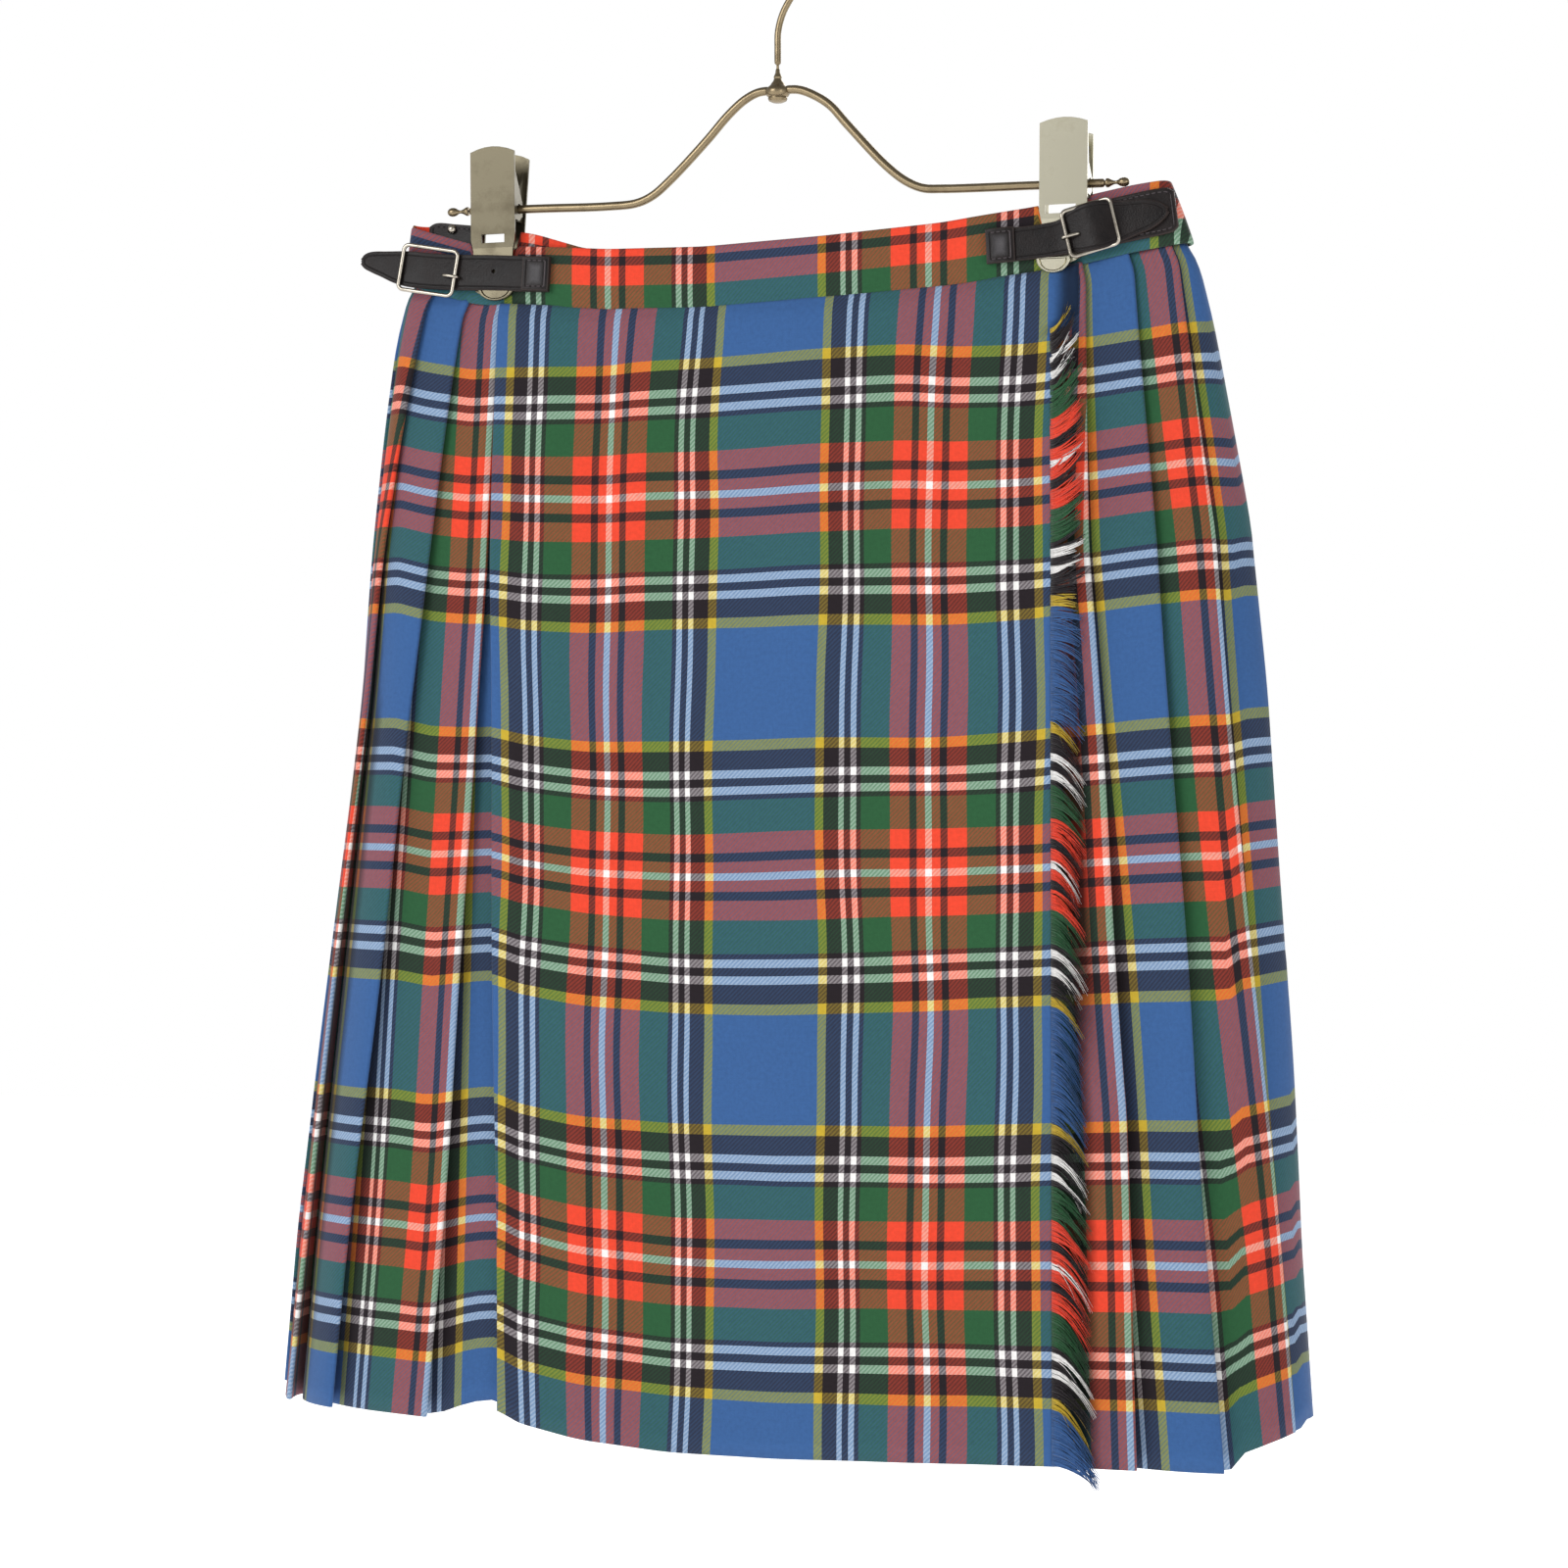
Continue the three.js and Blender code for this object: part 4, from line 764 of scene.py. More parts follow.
for name, stations, rise, width in (("waistband_front", front_stations, WAIST_RISE, 0.319),
                                    ("waistband_back", back_stations, BACK_WAIST_RISE, 0.38),
                                    ("waistband_under", under_stations, BACK_WAIST_RISE, 0.345)):
    piece = closed_wall(name + "_cloth", *band_grid(stations, rise), BAND_WALL, tartan_finish, "tartan", rim_rows=3)
    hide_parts(name)
    print(name, len(piece.data.polygons), "faces")

# %% [markdown]
# The over apron's right edge is frayed: its warp threads are drawn out, so the weft threads hang free.
# They keep the colours of the stripes that they come from. Hair strands would be quick to grow but
# are no mesh, so each thread is a thin three-sided tube on a short curve. Nine neighbours share a
# lock, whose tip they lean to. Near the waist they are brushed upwards, and lower down they droop.

# %% Fringe
# Columns: height, reach to the right, rise of the tip, how far a thread bows out.
FRINGE = [(249, 7, 3, 1.5), (236, 10, 10, 2.2), (205, 12, 11, 2.4), (160, 13.5, 9, 2.6), (120, 13, 5, 2.6),
          (92, 13, -6, 2.4), (40, 14, -13, 2.2), (-60, 14, -15, 2.2), (-150, 16, -17, 2.4), (-225, 18, -19, 2.4),
          (-269, 18, -15, 1.8)]
THREAD_COUNT, LOCK, THREAD_RINGS, THREAD_RADIUS = 1300, 9, 7, 0.42
FRINGE_TOP, TUFT, TUFT_REACH, STRAYS = 228.0, 30.0, 20.5, 0.07


def fringe_threads():
    table = np.array(FRINGE)[::-1]
    points, faces, flat = [], [], []
    lock_lean, lock_tip = {}, {}
    for i in range(THREAD_COUNT):
        z = FRINGE_TOP - (FRINGE_TOP - HEM - 0.5) * (i + random.uniform(-0.4, 0.4)) / THREAD_COUNT
        reach, rise, bow = (float(np.interp(z, table[:, 0], table[:, c])) for c in (1, 2, 3))
        lock = i // LOCK
        if lock not in lock_lean:
            lock_lean[lock] = (random.uniform(-2.2, 2.2), random.uniform(-2.6, 2.6), random.uniform(0, 1.6))
            lock_tip[lock] = FRINGE_TOP - (FRINGE_TOP - HEM) * (lock + 0.5) * LOCK / THREAD_COUNT
        lean_x, lean_z, lean_y = lock_lean[lock]
        ring = FRINGE_RINGS[min(FRINGE_RINGS, key=lambda height: abs(height - z))]
        s_root = ring.front(edge_at(EDGES["apron_right"], z)) - 1.2
        stray = random.uniform(0, 1) < STRAYS
        tip_x = reach + lean_x + random.uniform(-1.4, 0.9) - (4 * random.random() if stray else 0)
        tip_z = rise + lean_z + 0.45 * (lock_tip[lock] - z)
        tip_z += random.uniform(-6, 7) if stray else random.uniform(-1.2, 1.2)
        x, y = (float(v) for v in ring.place(s_root, 3.0 + random.uniform(-0.25, 0.35)))
        root = np.array([x, y, float(hang(z, x, APRON_HEM_RISE))])
        gather = float(smooth((HEM + TUFT - z) / (0.6 * TUFT)))
        tip_x = (1 - gather) * tip_x + gather * (TUFT_REACH + random.uniform(-4, 1.5))
        tip_z = (1 - gather) * tip_z + gather * (HEM - 8 + random.uniform(-2, 6) - z)
        out = bow + lean_y + random.uniform(-0.5, 0.7)
        first = len(points)
        for step in np.linspace(0, 1, THREAD_RINGS):
            forward = -out * math.sin(math.pi * min(1, 0.2 + 0.8 * step)) * step ** 0.5
            along = np.array([tip_x * (1.25 * step - 0.25 * step ** 2), forward, tip_z * step ** 1.7])
            radius = THREAD_RADIUS * (1 - 0.5 * step ** 2) * (1 + 0.6 * gather)
            turn = np.array([0, 2 * math.pi / 3, 4 * math.pi / 3]) + 0.9 * i
            rim = np.stack([-0.35 * np.cos(turn) * radius, np.sin(turn) * radius, np.cos(turn) * radius], -1)
            points += (root + along + rim).tolist()
            flat += [(0.0, SEAM - z + HALF_DOWN)] * 3
        for r in range(THREAD_RINGS - 1):
            for k in range(3):
                a, b = first + 3 * r + k, first + 3 * r + (k + 1) % 3
                faces.append((a, b, b + 3, a + 3))
        faces += [(first + 2, first + 1, first), tuple(first + 3 * (THREAD_RINGS - 1) + k for k in range(3))]
    mesh = bpy.data.meshes.new("fringe_threads")
    mesh.from_pydata(((np.array(points) + ZERO) * MM).tolist(), [], faces)
    cloth = mesh.uv_layers.new(name="flat")
    loops = np.empty(len(mesh.loops), dtype=np.int32)
    mesh.loops.foreach_get("vertex_index", loops)
    cloth.data.foreach_set("uv", (np.array(flat)[loops] * MM).astype(np.float32).reshape(-1))
    mesh.polygons.foreach_set("use_smooth", [True] * len(mesh.polygons))
    return added("fringe_threads", mesh)


def yarn():
    material, tree, shader = new_finish("fringe_yarn")
    cloth = tree.node("ShaderNodeUVMap", {"uv_map": "flat"})
    fluff = tree.node("ShaderNodeTexCoord", None, None, 3).noise(900.0, 2.0) * 0.5 + 0.72
    feed(shader, "Base Color", as_light(stripes(cloth.part(1) / MM, DOWN)).shaded(fluff))
    feed(shader, "Roughness", fluff * 0.3 + 0.55)
    feed(shader, "Sheen Weight", 0.15)
    feed(shader, "Specular IOR Level", 0.25)
    return material


FRINGE_RINGS = {height: skirt_ring(height) for height in np.linspace(250, HEM, 53)}
piece = fringe_threads()
piece.data.materials.append(yarn())
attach(piece, "root")
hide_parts("fringe")
print("fringe:", THREAD_COUNT, "threads,", len(piece.data.polygons), "faces")

# %% [markdown]
# The straps, patches and tab are leather strips 1.2 to 2 mm thick. They could start as boxes, but a
# strip that bends and narrows to a tip is easier as rows of points across its own middle line, as the
# cloth is. Its map counts millimetres along the strip and inwards from the nearest cut edge, so the
# finish can draw the pressed line, the stitches and the worn edge at their real distances.

# %% Leather finish
SEAM_INSET, STITCH = 1.9, 2.6  # from the cut edge to the stitches, and from one stitch to the next


def leather(name, stitched, tone=1.0, painted_highlight_strength=0.0):
    material, tree, shader = new_finish(name)
    flat = tree.node("ShaderNodeUVMap", {"uv_map": "flat"})
    run, inset = flat.part(0) / MM, flat.part(1) / MM
    place = tree.node("ShaderNodeTexCoord", None, None, 3)
    pores = tree.node("ShaderNodeTexVoronoi", None, {"Vector": place, "Scale": 1300.0})
    mottle = place.noise(170.0, 4.0)
    worn_edge = (1 - inset / 0.8).math("MAXIMUM", 0)
    from_seam = (inset - SEAM_INSET).math("ABSOLUTE")
    line = (1 - from_seam / 0.4).math("MAXIMUM", 0)
    dash = (run / STITCH).math("FRACT").math("LESS_THAN", 0.62)
    stitch = dash * from_seam.math("LESS_THAN", 0.3) * (1.0 if stitched else 0.0)
    black, brown = linear(14 * tone, 11 * tone, 12 * tone), linear(50 * tone, 42 * tone, 40 * tone)
    thread, painted_highlight_grey = linear(70, 64, 66), linear(120, 118, 122)
    skin = (mottle * 0.5 + worn_edge * 0.9 - 0.1).within_one().blend(black, brown)
    # Painted highlight: a lighter grey laid over the middle of the strip, away from its cut edges, so the patches
    # look glossy.
    painted_highlight = ((inset - 2.6) / 2.6).within_one() * (mottle + 0.2) * painted_highlight_strength
    feed(shader, "Base Color", painted_highlight.blend(stitch.blend(skin, thread), painted_highlight_grey))
    feed(shader, "Roughness", mottle * 0.22 + worn_edge * 0.12 + 0.24)
    feed(shader, "Specular IOR Level", 0.17)
    feed(shader, "Normal", bumpy(tree, pores * 0.3 + mottle * 0.8 - line * 0.8 + stitch * 1.4, 0.00022, 0.8))
    return material


plain_leather, sewn_leather = leather("strap_leather", False), leather("sewn_leather", True, 1.15)
# The patches get a painted highlight in their middle.
patch_leather = leather("patch_leather", True, 1.1, 0.4)
print("leather finishes:", plain_leather.name, sewn_leather.name, patch_leather.name)

# %% [markdown]
# A strap bends gently between the places where something holds it, and so does a bent wire. Both get
# a smooth curve through a few points, cut again into even steps.

# %% A smooth line through points
def through(points, count):
    """Points at even distances on the smooth curve through the given ones; further columns follow."""
    p = np.array(points, float)
    p = np.vstack([2 * p[0] - p[1], p, 2 * p[-1] - p[-2]])
    curve = []
    for a, b, c, d in zip(p, p[1:], p[2:], p[3:]):
        t0, t1, t2, t3 = np.cumsum([0] + [np.linalg.norm((w - v)[:3]) ** 0.5 for v, w in ((a, b), (b, c), (c, d))])
        t = np.linspace(t1, t2, 24, endpoint=False)[:, None]
        ab, bc, cd = ((v * (end - t) + w * (t - begin)) / (end - begin)
                      for v, w, begin, end in ((a, b, t0, t1), (b, c, t1, t2), (c, d, t2, t3)))
        abc, bcd = (ab * (t2 - t) + bc * (t - t0)) / (t2 - t0), (bc * (t3 - t) + cd * (t - t1)) / (t3 - t1)
        curve.append((abc * (t2 - t) + bcd * (t - t1)) / (t2 - t1))
    curve = np.vstack(curve + [p[-2]])
    length = np.concatenate([[0], np.cumsum(np.linalg.norm(np.diff(curve[:, :3], axis=0), axis=1))])
    even = np.linspace(0, length[-1], count)
    return np.stack([np.interp(even, length, column) for column in curve.T], -1)


print("a strap's middle line:", through([(0, 0, 0), (10, 0, 2), (20, 0, 2)], 5).round(1).tolist())

# %% [markdown]
# Each strap runs through its buckle to a tip, and a small sewn patch holds its other end. The right
# strap is wider inside its buckle, so each row gives a half width beside the middle line's place.

# %% Straps, patches, chape and tab
# Columns: right, back, up, half width.
LEFT_STRAP = [(-206.8, -8, 283.3, 0.9), (-206.2, -8, 283.3, 2.3), (-204.5, -8, 283.2, 3.7), (-201.5, -8, 282.9, 4.8),
              (-195.3, -8, 281.5, 6.1), (-189, -8, 279.9, 7.5), (-183, -8, 278.7, 8.3), (-171, -8, 277.0, 8.4),
              (-157, -7.8, 275.8, 8.3), (-142, -7.6, 275, 8.3), (-128, -7.4, 274, 8.3), (-112, -7.4, 273, 8.3)]
RIGHT_STRAP = [(98, -7.4, 275.4, 7.6), (112, -7.4, 276.1, 7.6), (124, -7.5, 276.9, 7.7), (133, -7.8, 278.2, 8.0),
               (139, -9.4, 280.0, 9.9), (146, -10.8, 281.6, 10.8), (153, -10.5, 282.9, 10.6), (159, -9.4, 283.7, 9.2),
               (166, -9.4, 285, 7.9), (173, -9.6, 286.3, 6.6), (178, -9.6, 287.2, 4.2), (180.2, -9.5, 287.6, 2.2),
               (180.8, -9.5, 287.7, 0.9)]
CHAPE = [(149, -6.3, 283.2, 10.2), (158, -7, 284.4, 10.3), (170, -7.7, 286.2, 10.4), (178, -7.6, 287.4, 10.3),
         (182, -7.5, 287.9, 9.7), (184.3, -7.3, 288.2, 7.8)]
TAB = [(-176, 1.6, 295, 4.5), (-173, 1.5, 295, 6), (-163, 1, 294, 6), (-151.5, 0.4, 292.5, 6)]
PATCH_LIFT, PATCH_WALL, PATCH_HALF = 1.9, 1.2, 7.9


def patch(strap, first, last):
    """A short loop of leather in front of the strap between two places."""
    rights, backs, heights, _ = zip(*strap)
    return [(x, np.interp(x, rights, backs) - PATCH_LIFT + sag, np.interp(x, rights, heights), PATCH_HALF)
            for x, sag in zip(np.linspace(first, last, 5), (0.45, 0.05, 0, 0.05, 0.45))]


def leather_strip(name, node, stations, wall, finish, crown=0.3, columns=120, rows=17):
    path = through(stations, columns)
    heading = np.gradient(path[:, :3], axis=0)
    up = np.cross(heading, (0, 1, 0))
    up /= np.linalg.norm(up, axis=1, keepdims=True)
    front = np.cross(heading, up)
    front /= -np.linalg.norm(front, axis=1, keepdims=True)
    across = np.cos(np.linspace(0, np.pi, rows))
    half = path[:, 3]
    grid = np.array([path[:, :3] + up * (half * v)[:, None] + front * crown * (1 - v * v) for v in across])
    run = np.concatenate([[0], np.cumsum(np.linalg.norm(np.diff(path[:, :3], axis=0), axis=1))])
    inset = [np.hypot(run[:, None] - run[None], half[None] - abs(v) * half[:, None]).min(1) for v in across]
    inset = np.minimum(np.array(inset), np.minimum(run, run[-1] - run)[None])
    flat = np.stack([np.broadcast_to(run, inset.shape), inset], -1)
    piece = closed_wall(name, grid, flat, wall, finish, "leather", rim_rows=3)
    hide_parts(node)
    only(piece)
    bpy.ops.object.shade_smooth_by_angle(angle=math.radians(50))
    print(name, round(run[-1], 1), "mm long")


LEFT_PATCH, RIGHT_PATCH = patch(LEFT_STRAP, -125, -112), patch(RIGHT_STRAP, 98, 111)
for name, node, stations, wall, finish in (("left_strap", "strap_left", LEFT_STRAP, 2.0, plain_leather),
                                           ("right_strap", "strap_right", RIGHT_STRAP, 2.0, plain_leather),
                                           ("left_patch", "patch_left", LEFT_PATCH, PATCH_WALL, patch_leather),
                                           ("right_patch", "patch_right", RIGHT_PATCH, PATCH_WALL, patch_leather),
                                           ("right_chape", "chape_right", CHAPE, 1.8, sewn_leather),
                                           ("tab", "inner_tab", TAB, 1.6, sewn_leather)):
    leather_strip(name, node, stations, wall, finish)

# %% [markdown]
# The left strap has a spare hole that the prong doesn't use. A hole is a cut, so a thin cylinder is
# put through the strap and a Boolean modifier takes its shape away.

# %% Spare hole
bpy.ops.object.select_all(action="DESELECT")
QUARTER = math.pi / 2
bpy.ops.mesh.primitive_cylinder_add(vertices=20, radius=1.0 * MM, depth=8 * MM, rotation=(QUARTER, 0, 0),
                                    location=metres((-139.8, -8, 275.6)))
punch = bpy.context.object
strap = only(bpy.data.objects["left_strap"])
hole = strap.modifiers.new("hole", "BOOLEAN")
hole.operation, hole.solver, hole.object = "DIFFERENCE", "EXACT", punch
bpy.ops.object.modifier_apply(modifier="hole")
bpy.data.objects.remove(punch)
print("strap with its hole:", len(strap.data.polygons), "faces")

# %% [markdown]
# Three metals: worn nickel on the buckles, antique brass on the wire and its turned ends, and satin
# brass sheet on the clips, in a darker copy on the left clip as painted shade and a lighter copy on the
# right clip as painted light. Metal shows what it mirrors, so its colour is only a tint. What makes it
# look used is a cloudy tarnish, darker and duller in patches, with fine pits in its surface.

# %% Metal finishes
def metal(name, bright, dull, roughness, cloud=60.0, tarnish=0.5, relief=0.5):
    material, tree, shader = new_finish(name)
    place = tree.node("ShaderNodeTexCoord", None, None, 3)
    clouds, pits = place.noise(cloud, 6.0, 0.6), place.noise(1400.0, 2.0)
    dullness = (clouds * 2.2 + pits * 0.3 - 1.75 + tarnish).within_one()
    feed(shader, "Base Color", dullness.blend(bright, dull))
    feed(shader, "Metallic", 1.0)
    feed(shader, "Roughness", dullness * 0.22 + roughness)
    feed(shader, "Normal", bumpy(tree, pits * 0.3 + clouds, 0.00004, relief))
    return material


nickel = metal("worn_nickel", linear(176, 169, 157), linear(112, 103, 90), 0.2, 150)
wire_brass = metal("antique_wire", linear(140, 125, 99), linear(96, 83, 63), 0.3, 110, relief=0.12)
# The clips are of one brass: the left copy is darker as painted shade and the right copy lighter as painted light.
left_sheet_painted_shade = metal("left_clip_brass_painted_shade", linear(104, 98, 82), linear(80, 72, 58), 0.34, 70)
right_sheet_painted_light = metal("right_clip_brass_painted_light", linear(172, 168, 150), linear(128, 122, 102), 0.28, 70, 0.35)
print("metals:", [m.name for m in (nickel, wire_brass, left_sheet_painted_shade, right_sheet_painted_light)])

# %% [markdown]
# A bent wire is a curve given a round section and turned into a mesh. Extruding a circle along the
# line by hand would do as well, with many more steps. The hanger's bar and hook are made so, and the
# buckle frames too, after a plane's corners are bevelled and its face is removed.

# %% Round wire along a line
def finish_piece(piece, node, finish, name, angle=40):
    only(piece)
    piece.name = name
    bpy.ops.object.transform_apply(location=True, rotation=True, scale=True)
    bpy.ops.object.shade_smooth_by_angle(angle=math.radians(angle))
    piece.data.materials.clear()
    piece.data.materials.append(finish)
    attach(piece, "root")
    if node:
        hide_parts(node)
    print(name, len(piece.data.polygons), "faces")
    return piece


def round_wire(points, radius, tapers=None):
    line = bpy.data.curves.new("line", "CURVE")
    line.dimensions = "3D"
    spline = line.splines.new("POLY")
    spline.points.add(len(points) - 1)
    for i, (knot, point) in enumerate(zip(spline.points, points)):
        knot.co = (*metres(point), 1)
        knot.radius = tapers[i] if tapers is not None else 1.0
    line.bevel_depth, line.bevel_resolution, line.use_fill_caps = radius * MM, 4, True
    only(added("wire", line))
    bpy.ops.object.convert(target="MESH")
    return bpy.context.object


WIRE_LEFT = [(-155.2, 305.5), (-120, 305), (-86, 304.3), (-72, 305), (-64, 308), (-55, 315), (-37, 332.4), (-27, 343),
             (-19, 349.6), (-12.5, 352.6), (-6.5, 353.2)]
WIRE_RIGHT = [(0.5, 353.2), (7, 352.8), (13, 350.6), (21.6, 345.2), (30.5, 335.3), (48.6, 315.9), (58, 308.4),
              (66, 304.8), (75, 304), (120, 303.2), (150.6, 302.6)]
HOOK_MIDDLE, HOOK_RADIUS = (-2.0, 425.0), 22.5
turns = np.radians(np.linspace(-48, 205, 15))
HOOK = [(-3, 364.6), (-3, 372), (-2.8, 380), (-0.6, 388), (4, 396)] + [
    (HOOK_MIDDLE[0] + HOOK_RADIUS * math.cos(turn), HOOK_MIDDLE[1] + HOOK_RADIUS * math.sin(turn)) for turn in turns]


def rounded_ends(count, steps):
    """Shrinks a wire's radius over its last steps, as a filed end has."""
    near = np.minimum(np.arange(count), np.arange(count)[::-1]) / steps
    return np.sqrt(1 - (1 - np.clip(near, 0, 1)) ** 2 * 0.8)


WIRE_STEPS = 170
for name, node, line, radius in (("bar_left", "hanger_wire_left", WIRE_LEFT, 2.0),
                                 ("bar_right", "hanger_wire_right", WIRE_RIGHT, 2.0),
                                 ("hook", "hanger_hook", HOOK, 1.55)):
    points = through([(x, 0, z) for x, z in line], WIRE_STEPS)
    finish_piece(round_wire(points, radius, rounded_ends(WIRE_STEPS, 1.5)), node, wire_brass, name)

# %% [markdown]
# The ball in the middle and the ends of the bar are turned parts, so each is spun: its outline is
# drawn as a line of points, and the Spin operator turns it round the axis. The loose ends meet on
# the axis, where doubled points are merged before the normals are worked out again.

# %% Turned ball and finials
# Columns: radius, height.
BALL_OUTLINE = [(0, -5.1), (2.4, -4.9), (4.0, -4.2), (4.5, -3.2), (4.35, -2.4), (4.9, -2.0), (5.5, -1.1), (5.65, 0),
                (5.4, 1.1), (4.5, 2.2), (3.4, 3.0), (3.1, 3.7), (2.2, 4.8), (1.7, 6.0), (1.9, 6.7), (1.6, 7.5),
                (1.1, 8.7), (1.0, 10.0), (0.65, 10.6), (0.65, 12.0), (0, 12.3)]
FINIAL_OUTLINE = [(0, 0), (1.9, 0), (2.1, 0.5), (2.05, 1.1), (1.3, 2.5), (0.8, 3.7), (0.75, 4.7), (1.15, 5.5),
                  (1.75, 6.4), (2.05, 7.5), (2.05, 8.7), (1.7, 9.7), (1.0, 10.4), (0, 10.6)]
STUD_OUTLINE = [(0, -0.2), (2.0, -0.2), (2.15, 0.2), (1.9, 0.8), (1.2, 1.35), (0, 1.6)]


def edit_all():
    """Opens the active mesh for editing, with all of it selected."""
    bpy.ops.object.mode_set(mode="EDIT")
    bpy.ops.mesh.select_all(action="SELECT")


def close_edit():
    """Turns all faces outwards and ends the editing."""
    bpy.ops.mesh.normals_make_consistent(inside=False)
    bpy.ops.object.mode_set(mode="OBJECT")


def turned(outline, place, lean):
    """Spins an outline of (radius, length) round Z, then leans and moves it."""
    mesh = bpy.data.meshes.new("outline")
    mesh.from_pydata([(r * MM, 0, z * MM) for r, z in outline], [(i, i + 1) for i in range(len(outline) - 1)], [])
    piece = only(added("outline", mesh))
    edit_all()
    bpy.ops.mesh.spin(steps=28, angle=2 * math.pi, center=(0, 0, 0), axis=(0, 0, 1))
    bpy.ops.mesh.select_all(action="SELECT")
    bpy.ops.mesh.remove_doubles(threshold=1e-6)
    close_edit()
    piece.rotation_euler = lean
    piece.location = metres(place)
    return piece


LEFT_TURN, RIGHT_TURN = (0, -QUARTER, 0), (0, QUARTER, 0)
for name, node, outline, place, lean, finish, slot in (
        ("ball", "hanger_ball", BALL_OUTLINE, (-3, 0, 352.4), (0, 0, 0), wire_brass, "hanger_wire"),
        ("left_end", "finial_left", FINIAL_OUTLINE, (-155.5, 0, 305.5), LEFT_TURN, wire_brass, "hanger_wire"),
        ("right_end", "finial_right", FINIAL_OUTLINE, (150.9, 0, 302.6), RIGHT_TURN, wire_brass, "hanger_wire"),
        ("tab_stud", "inner_stud", STUD_OUTLINE, (-164, -0.4, 297.5), (QUARTER, 0, 0), nickel, "buckle_metal")):
    finish_piece(turned(outline, place, lean), node, finish, name, 30)

# %% [markdown]
# Each buckle is a square wire frame round the strap. Its prong is bent round one bar and its tip
# drops into a hole in the leather.

# %% Buckles and prongs
BUCKLE_TALL, BUCKLE_WIRE = 21.0, 0.95  # between the wire's middles; radius
# Columns: place, width between the wire's middles, turn, side of the prong's bar, bow.
BUCKLES = [("left", (-171.9, -10.3, 277.2), 27.6, 0.18, 1, 0.0),
           ("right", (146.2, -10.8, 281.4), 22.7, -0.24, -1, 2.0)]
# The prong's line, seen from above: along the strap from its bar, and back.
PRONG = [(1.3, 1.0), (0.2, 1.75), (-1.3, 1.2), (-1.7, 0), (-1.1, -1.4), (0.6, -1.75), (2.6, -1.6), (5.2, -0.9),
         (6.6, 0.6)]
PRONG_RADIUS, PRONG_STEPS = 0.72, 60

for side, place, wide, tilt, towards, bow in BUCKLES:
    bpy.ops.object.select_all(action="DESELECT")
    bpy.ops.mesh.primitive_plane_add(size=1, location=(0, 0, 0))
    edit_all()
    bpy.ops.transform.resize(value=(wide * MM, BUCKLE_TALL * MM, 1))
    bpy.ops.mesh.bevel(offset=2.6 * MM, segments=7, affect="VERTICES")
    bpy.ops.mesh.delete(type="ONLY_FACE")
    bpy.ops.object.mode_set(mode="OBJECT")
    bpy.ops.object.convert(target="CURVE")
    line = bpy.context.object.data
    line.bevel_depth, line.bevel_resolution = BUCKLE_WIRE * MM, 4
    bpy.ops.object.convert(target="MESH")
    buckle = bpy.context.object
    for vertex in buckle.data.vertices:
        vertex.co.z -= bow * MM * max(0, 1 - (2 * vertex.co.x / (wide * MM)) ** 2)
    buckle.rotation_euler = (QUARTER, tilt, 0)
    buckle.location = metres(place)
    finish_piece(buckle, "buckle_" + side, nickel, side + "_buckle")

    bar = np.array(place) + towards * wide / 2 * np.array([math.cos(tilt), 0, -math.sin(tilt)])
    along = np.array([-towards * math.cos(tilt), 0, towards * math.sin(tilt)])
    points = through([tuple(bar + along * a + np.array([0, y, -1.2])) for a, y in PRONG], PRONG_STEPS)
    prong = round_wire(points, PRONG_RADIUS, rounded_ends(PRONG_STEPS, 6))
    finish_piece(prong, "prong_" + side, nickel, side + "_prong")

# %% [markdown]
# A clip is two bent brass plates that turn on the bar, pressed shut by a spring. Their forms are right
# in the CAD model, so each is copied, its loose triangles are merged and dissolved, and its edges get
# a small bevel that catches the light, as a pressed edge does. Its top is eased to the arc of a real
# plate, and a rolled lip is added to the jaw, from a circle that is cut in half and extruded in steps.

# %% Clips
CLIP_KNEE, CLIP_TOP, CLIP_LEAN, PLATE_EASE, ARC_KEEP = 287.0, 334.0, 7.5, 3.0, 0.72
ARC_HEIGHT, RAISE_FROM = 6, 312  # how deep the top's arc is, and the height where raising it begins
PLATE_BACK = 4.5  # only points further out than this lean and sway
SLOT_HEIGHT, SLOT_HALF, SLOT_REACH, SLOT_LIFT = 291.5, 2.8, 6.5, 2.0
LIP_THICK, JAW_FACE = 2.1, 5.6
SPRING_HALF, SPRING_RADIUS, SPRING_WIRE, SPRING_TURNS = 6.5, 3.3, 0.5, 7


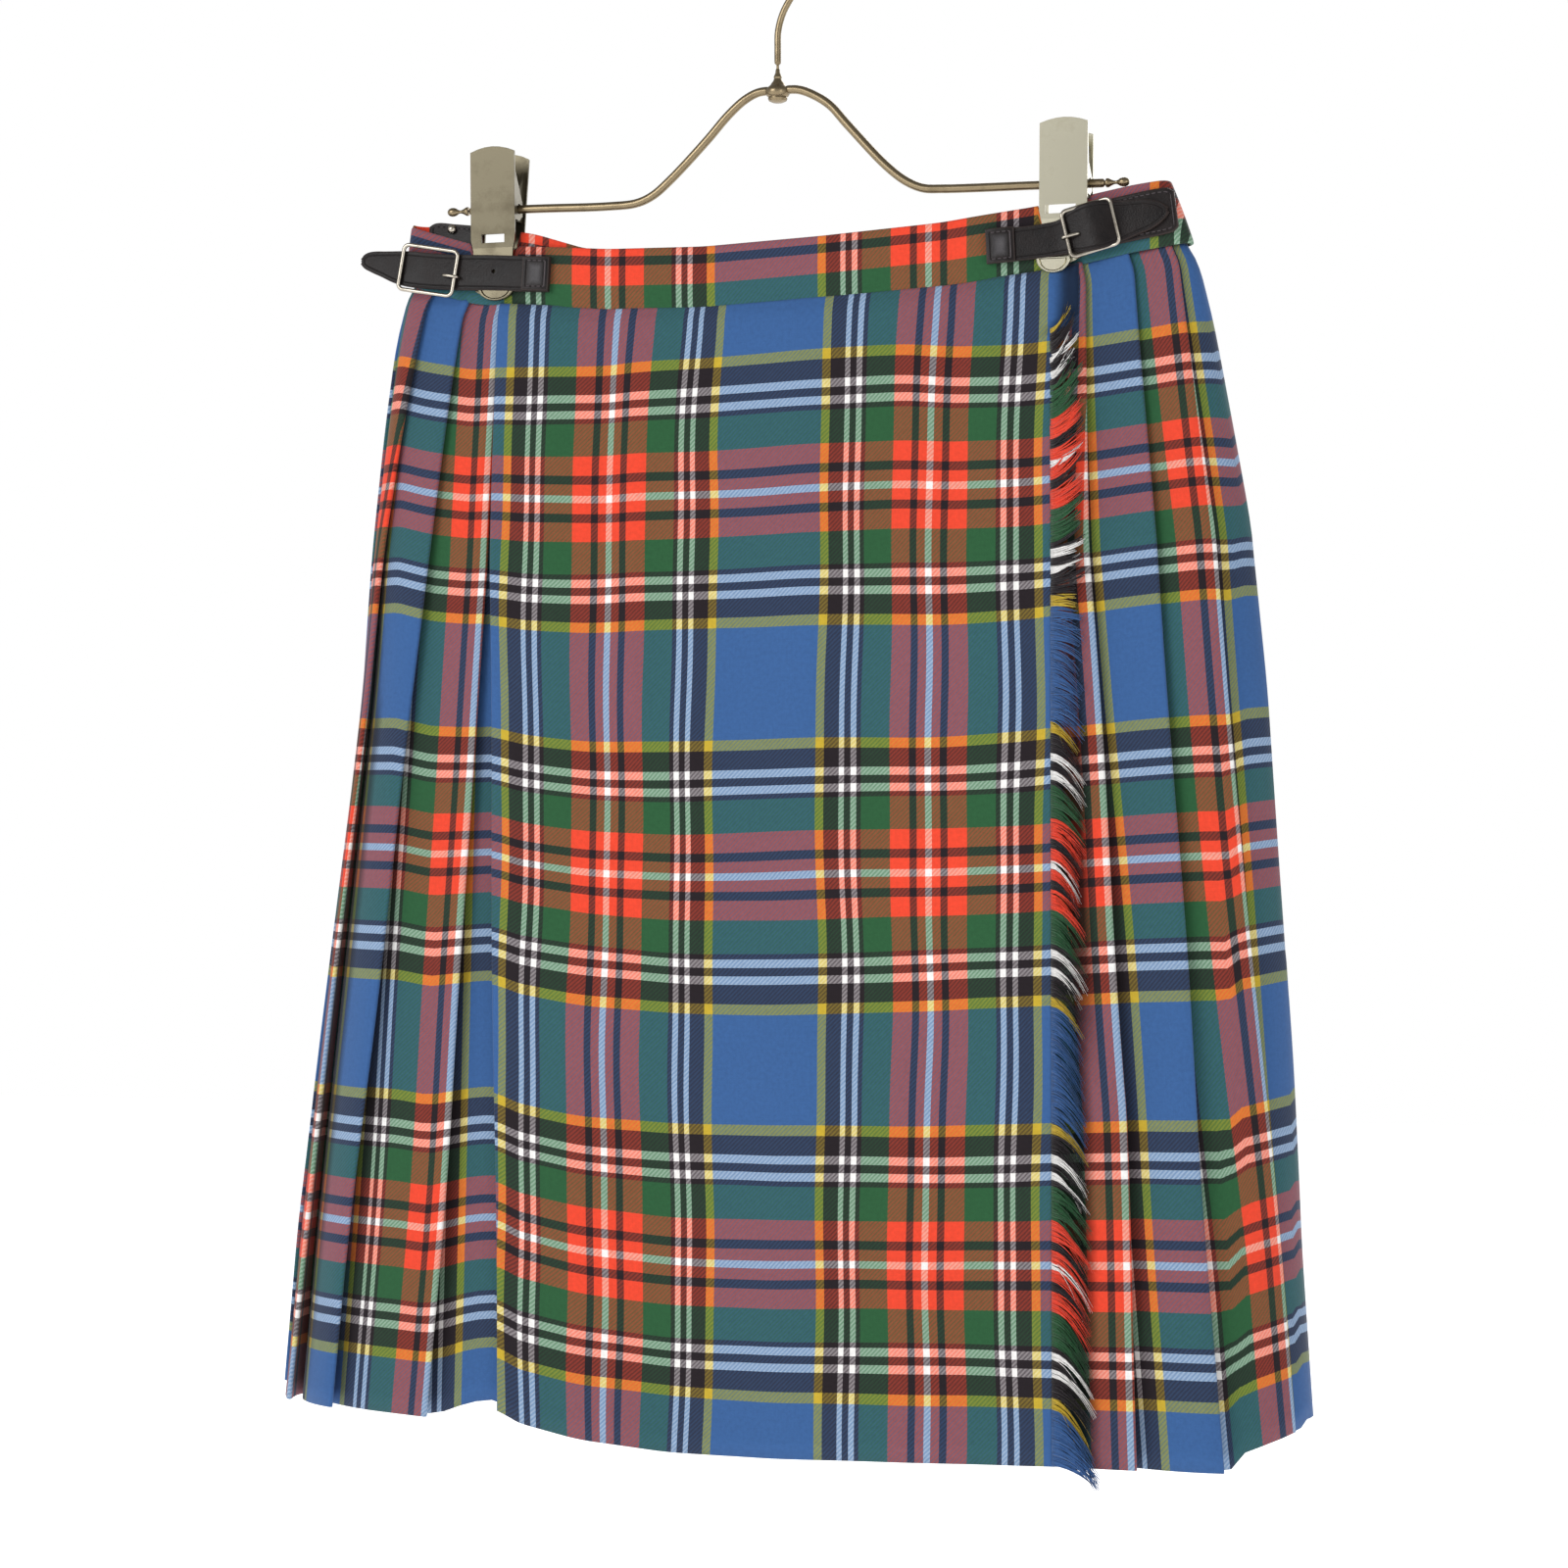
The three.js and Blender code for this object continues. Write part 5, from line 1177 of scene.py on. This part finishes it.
def clip_plate(node, place, facing, finish, name, raised, sway, longer):
    piece = only(added(name, bpy.data.objects[node].data.copy()))
    edit_all()
    bpy.ops.mesh.remove_doubles(threshold=1e-6)
    bpy.ops.mesh.dissolve_limited(angle_limit=math.radians(2))
    bpy.ops.object.mode_set(mode="OBJECT")
    top = CLIP_TOP - (0 if facing < 0 else 3)
    for vertex in piece.data.vertices:
        x, y, z = np.array(vertex.co) / MM - ZERO
        above = max(0, z - CLIP_KNEE) / (CLIP_TOP - CLIP_KNEE)
        if abs(z - SLOT_HEIGHT) < SLOT_HALF and abs(x - place) < SLOT_REACH:
            x -= longer if x < place else 0
            z += SLOT_LIFT if facing > 0 and z > SLOT_HEIGHT else 0
        eased_z = top - (top - z) * ARC_KEEP if z > top - ARC_HEIGHT else z
        eased_z += raised * max(0, z - RAISE_FROM) / (top - RAISE_FROM)
        if abs(y) > PLATE_BACK:
            y += facing * ((CLIP_LEAN - PLATE_EASE) * (eased_z - z) / (CLIP_TOP - CLIP_KNEE) - PLATE_EASE * above)
            x += sway * above
        vertex.co = metres((x, y, eased_z))
    soft = piece.modifiers.new("edges", "BEVEL")
    soft.width, soft.segments, soft.limit_method, soft.angle_limit = 0.3 * MM, 2, "ANGLE", math.radians(35)
    bpy.ops.object.modifier_apply(modifier="edges")
    return finish_piece(piece, node, finish, name, 4)


def jaw_lip(x, bottom, half, tall, facing, finish, name):
    bpy.ops.object.select_all(action="DESELECT")
    bpy.ops.mesh.primitive_circle_add(vertices=56, radius=1, fill_type="NGON")
    lip = bpy.context.object
    edit_all()
    bpy.ops.mesh.bisect(plane_co=(0, 0, 0), plane_no=(0, 1, 0), clear_outer=True, use_fill=False)
    bpy.ops.mesh.select_all(action="SELECT")
    bpy.ops.transform.resize(value=(half * MM, tall * MM, 1), center_override=(0, 0, 0))
    bpy.ops.mesh.extrude_region_move(TRANSFORM_OT_translate={"value": (0, 0, LIP_THICK * MM)})
    for keep, lift in ((0.94, 0.3), (0.87, 0), (0.94, -0.5), (0.93, 0.5)):
        bpy.ops.mesh.extrude_region_move(TRANSFORM_OT_translate={"value": (0, 0, lift * MM)})
        bpy.ops.transform.resize(value=(keep, keep, 1), center_override=(0, -0.42 * tall * MM, 0))
    bpy.ops.mesh.select_all(action="SELECT")
    close_edit()
    lip.rotation_euler = (QUARTER, 0, 0 if facing < 0 else math.pi)
    lip.location = metres((x, facing * JAW_FACE, bottom + tall))
    return finish_piece(lip, None, finish, name, 30)


# For each lip: how far it sits to the right, its lower edge, half its width and its height. For each
# half of a clip: how far its top stands over the CAD's, how far it sways, how much longer its slot is.
CLIP_ROWS = [("left", left_sheet_painted_shade, (2.1, 262.0, 9.1, 6.4), {"front": (0.0, 1.5, 0.0), "back": (2.4, 1.5, 3.0)}),
             ("right", right_sheet_painted_light, (-4.0, 262.6, 7.9, 7.0), {"front": (-2.3, 1.5, 2.4), "back": (-2.3, -0.7, 3.6)})]
for side, finish, (shift, lip_bottom, lip_half, lip_tall), halves in CLIP_ROWS:
    x, bar_height = CLIPS[side]
    for half, facing in (("front", -1), ("back", 1)):
        clip_plate(f"clip_{side}_{half}", x, facing, finish, f"{side}_clip_{half}", *halves[half])
        jaw_lip(x + shift, lip_bottom, lip_half, lip_tall, facing, finish, f"{side}_lip_{half}")
    coil = [(x + SPRING_HALF * (2 * t - 1), -SPRING_RADIUS * math.cos(2 * math.pi * SPRING_TURNS * t),
             bar_height + SPRING_RADIUS * math.sin(2 * math.pi * SPRING_TURNS * t)) for t in np.linspace(0, 1, 150)]
    finish_piece(round_wire(coil, SPRING_WIRE), None, wire_brass, side + "_spring")

# %% [markdown]
# Both boxes are kept, of the solids and of the dressed skirt, so that they can be compared.

# %% Sizes and finish
for size_name, box in (("solids", solid_box), ("dressed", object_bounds())):
    print(size_name, [[round(v, 4) for v in corner] for corner in box])
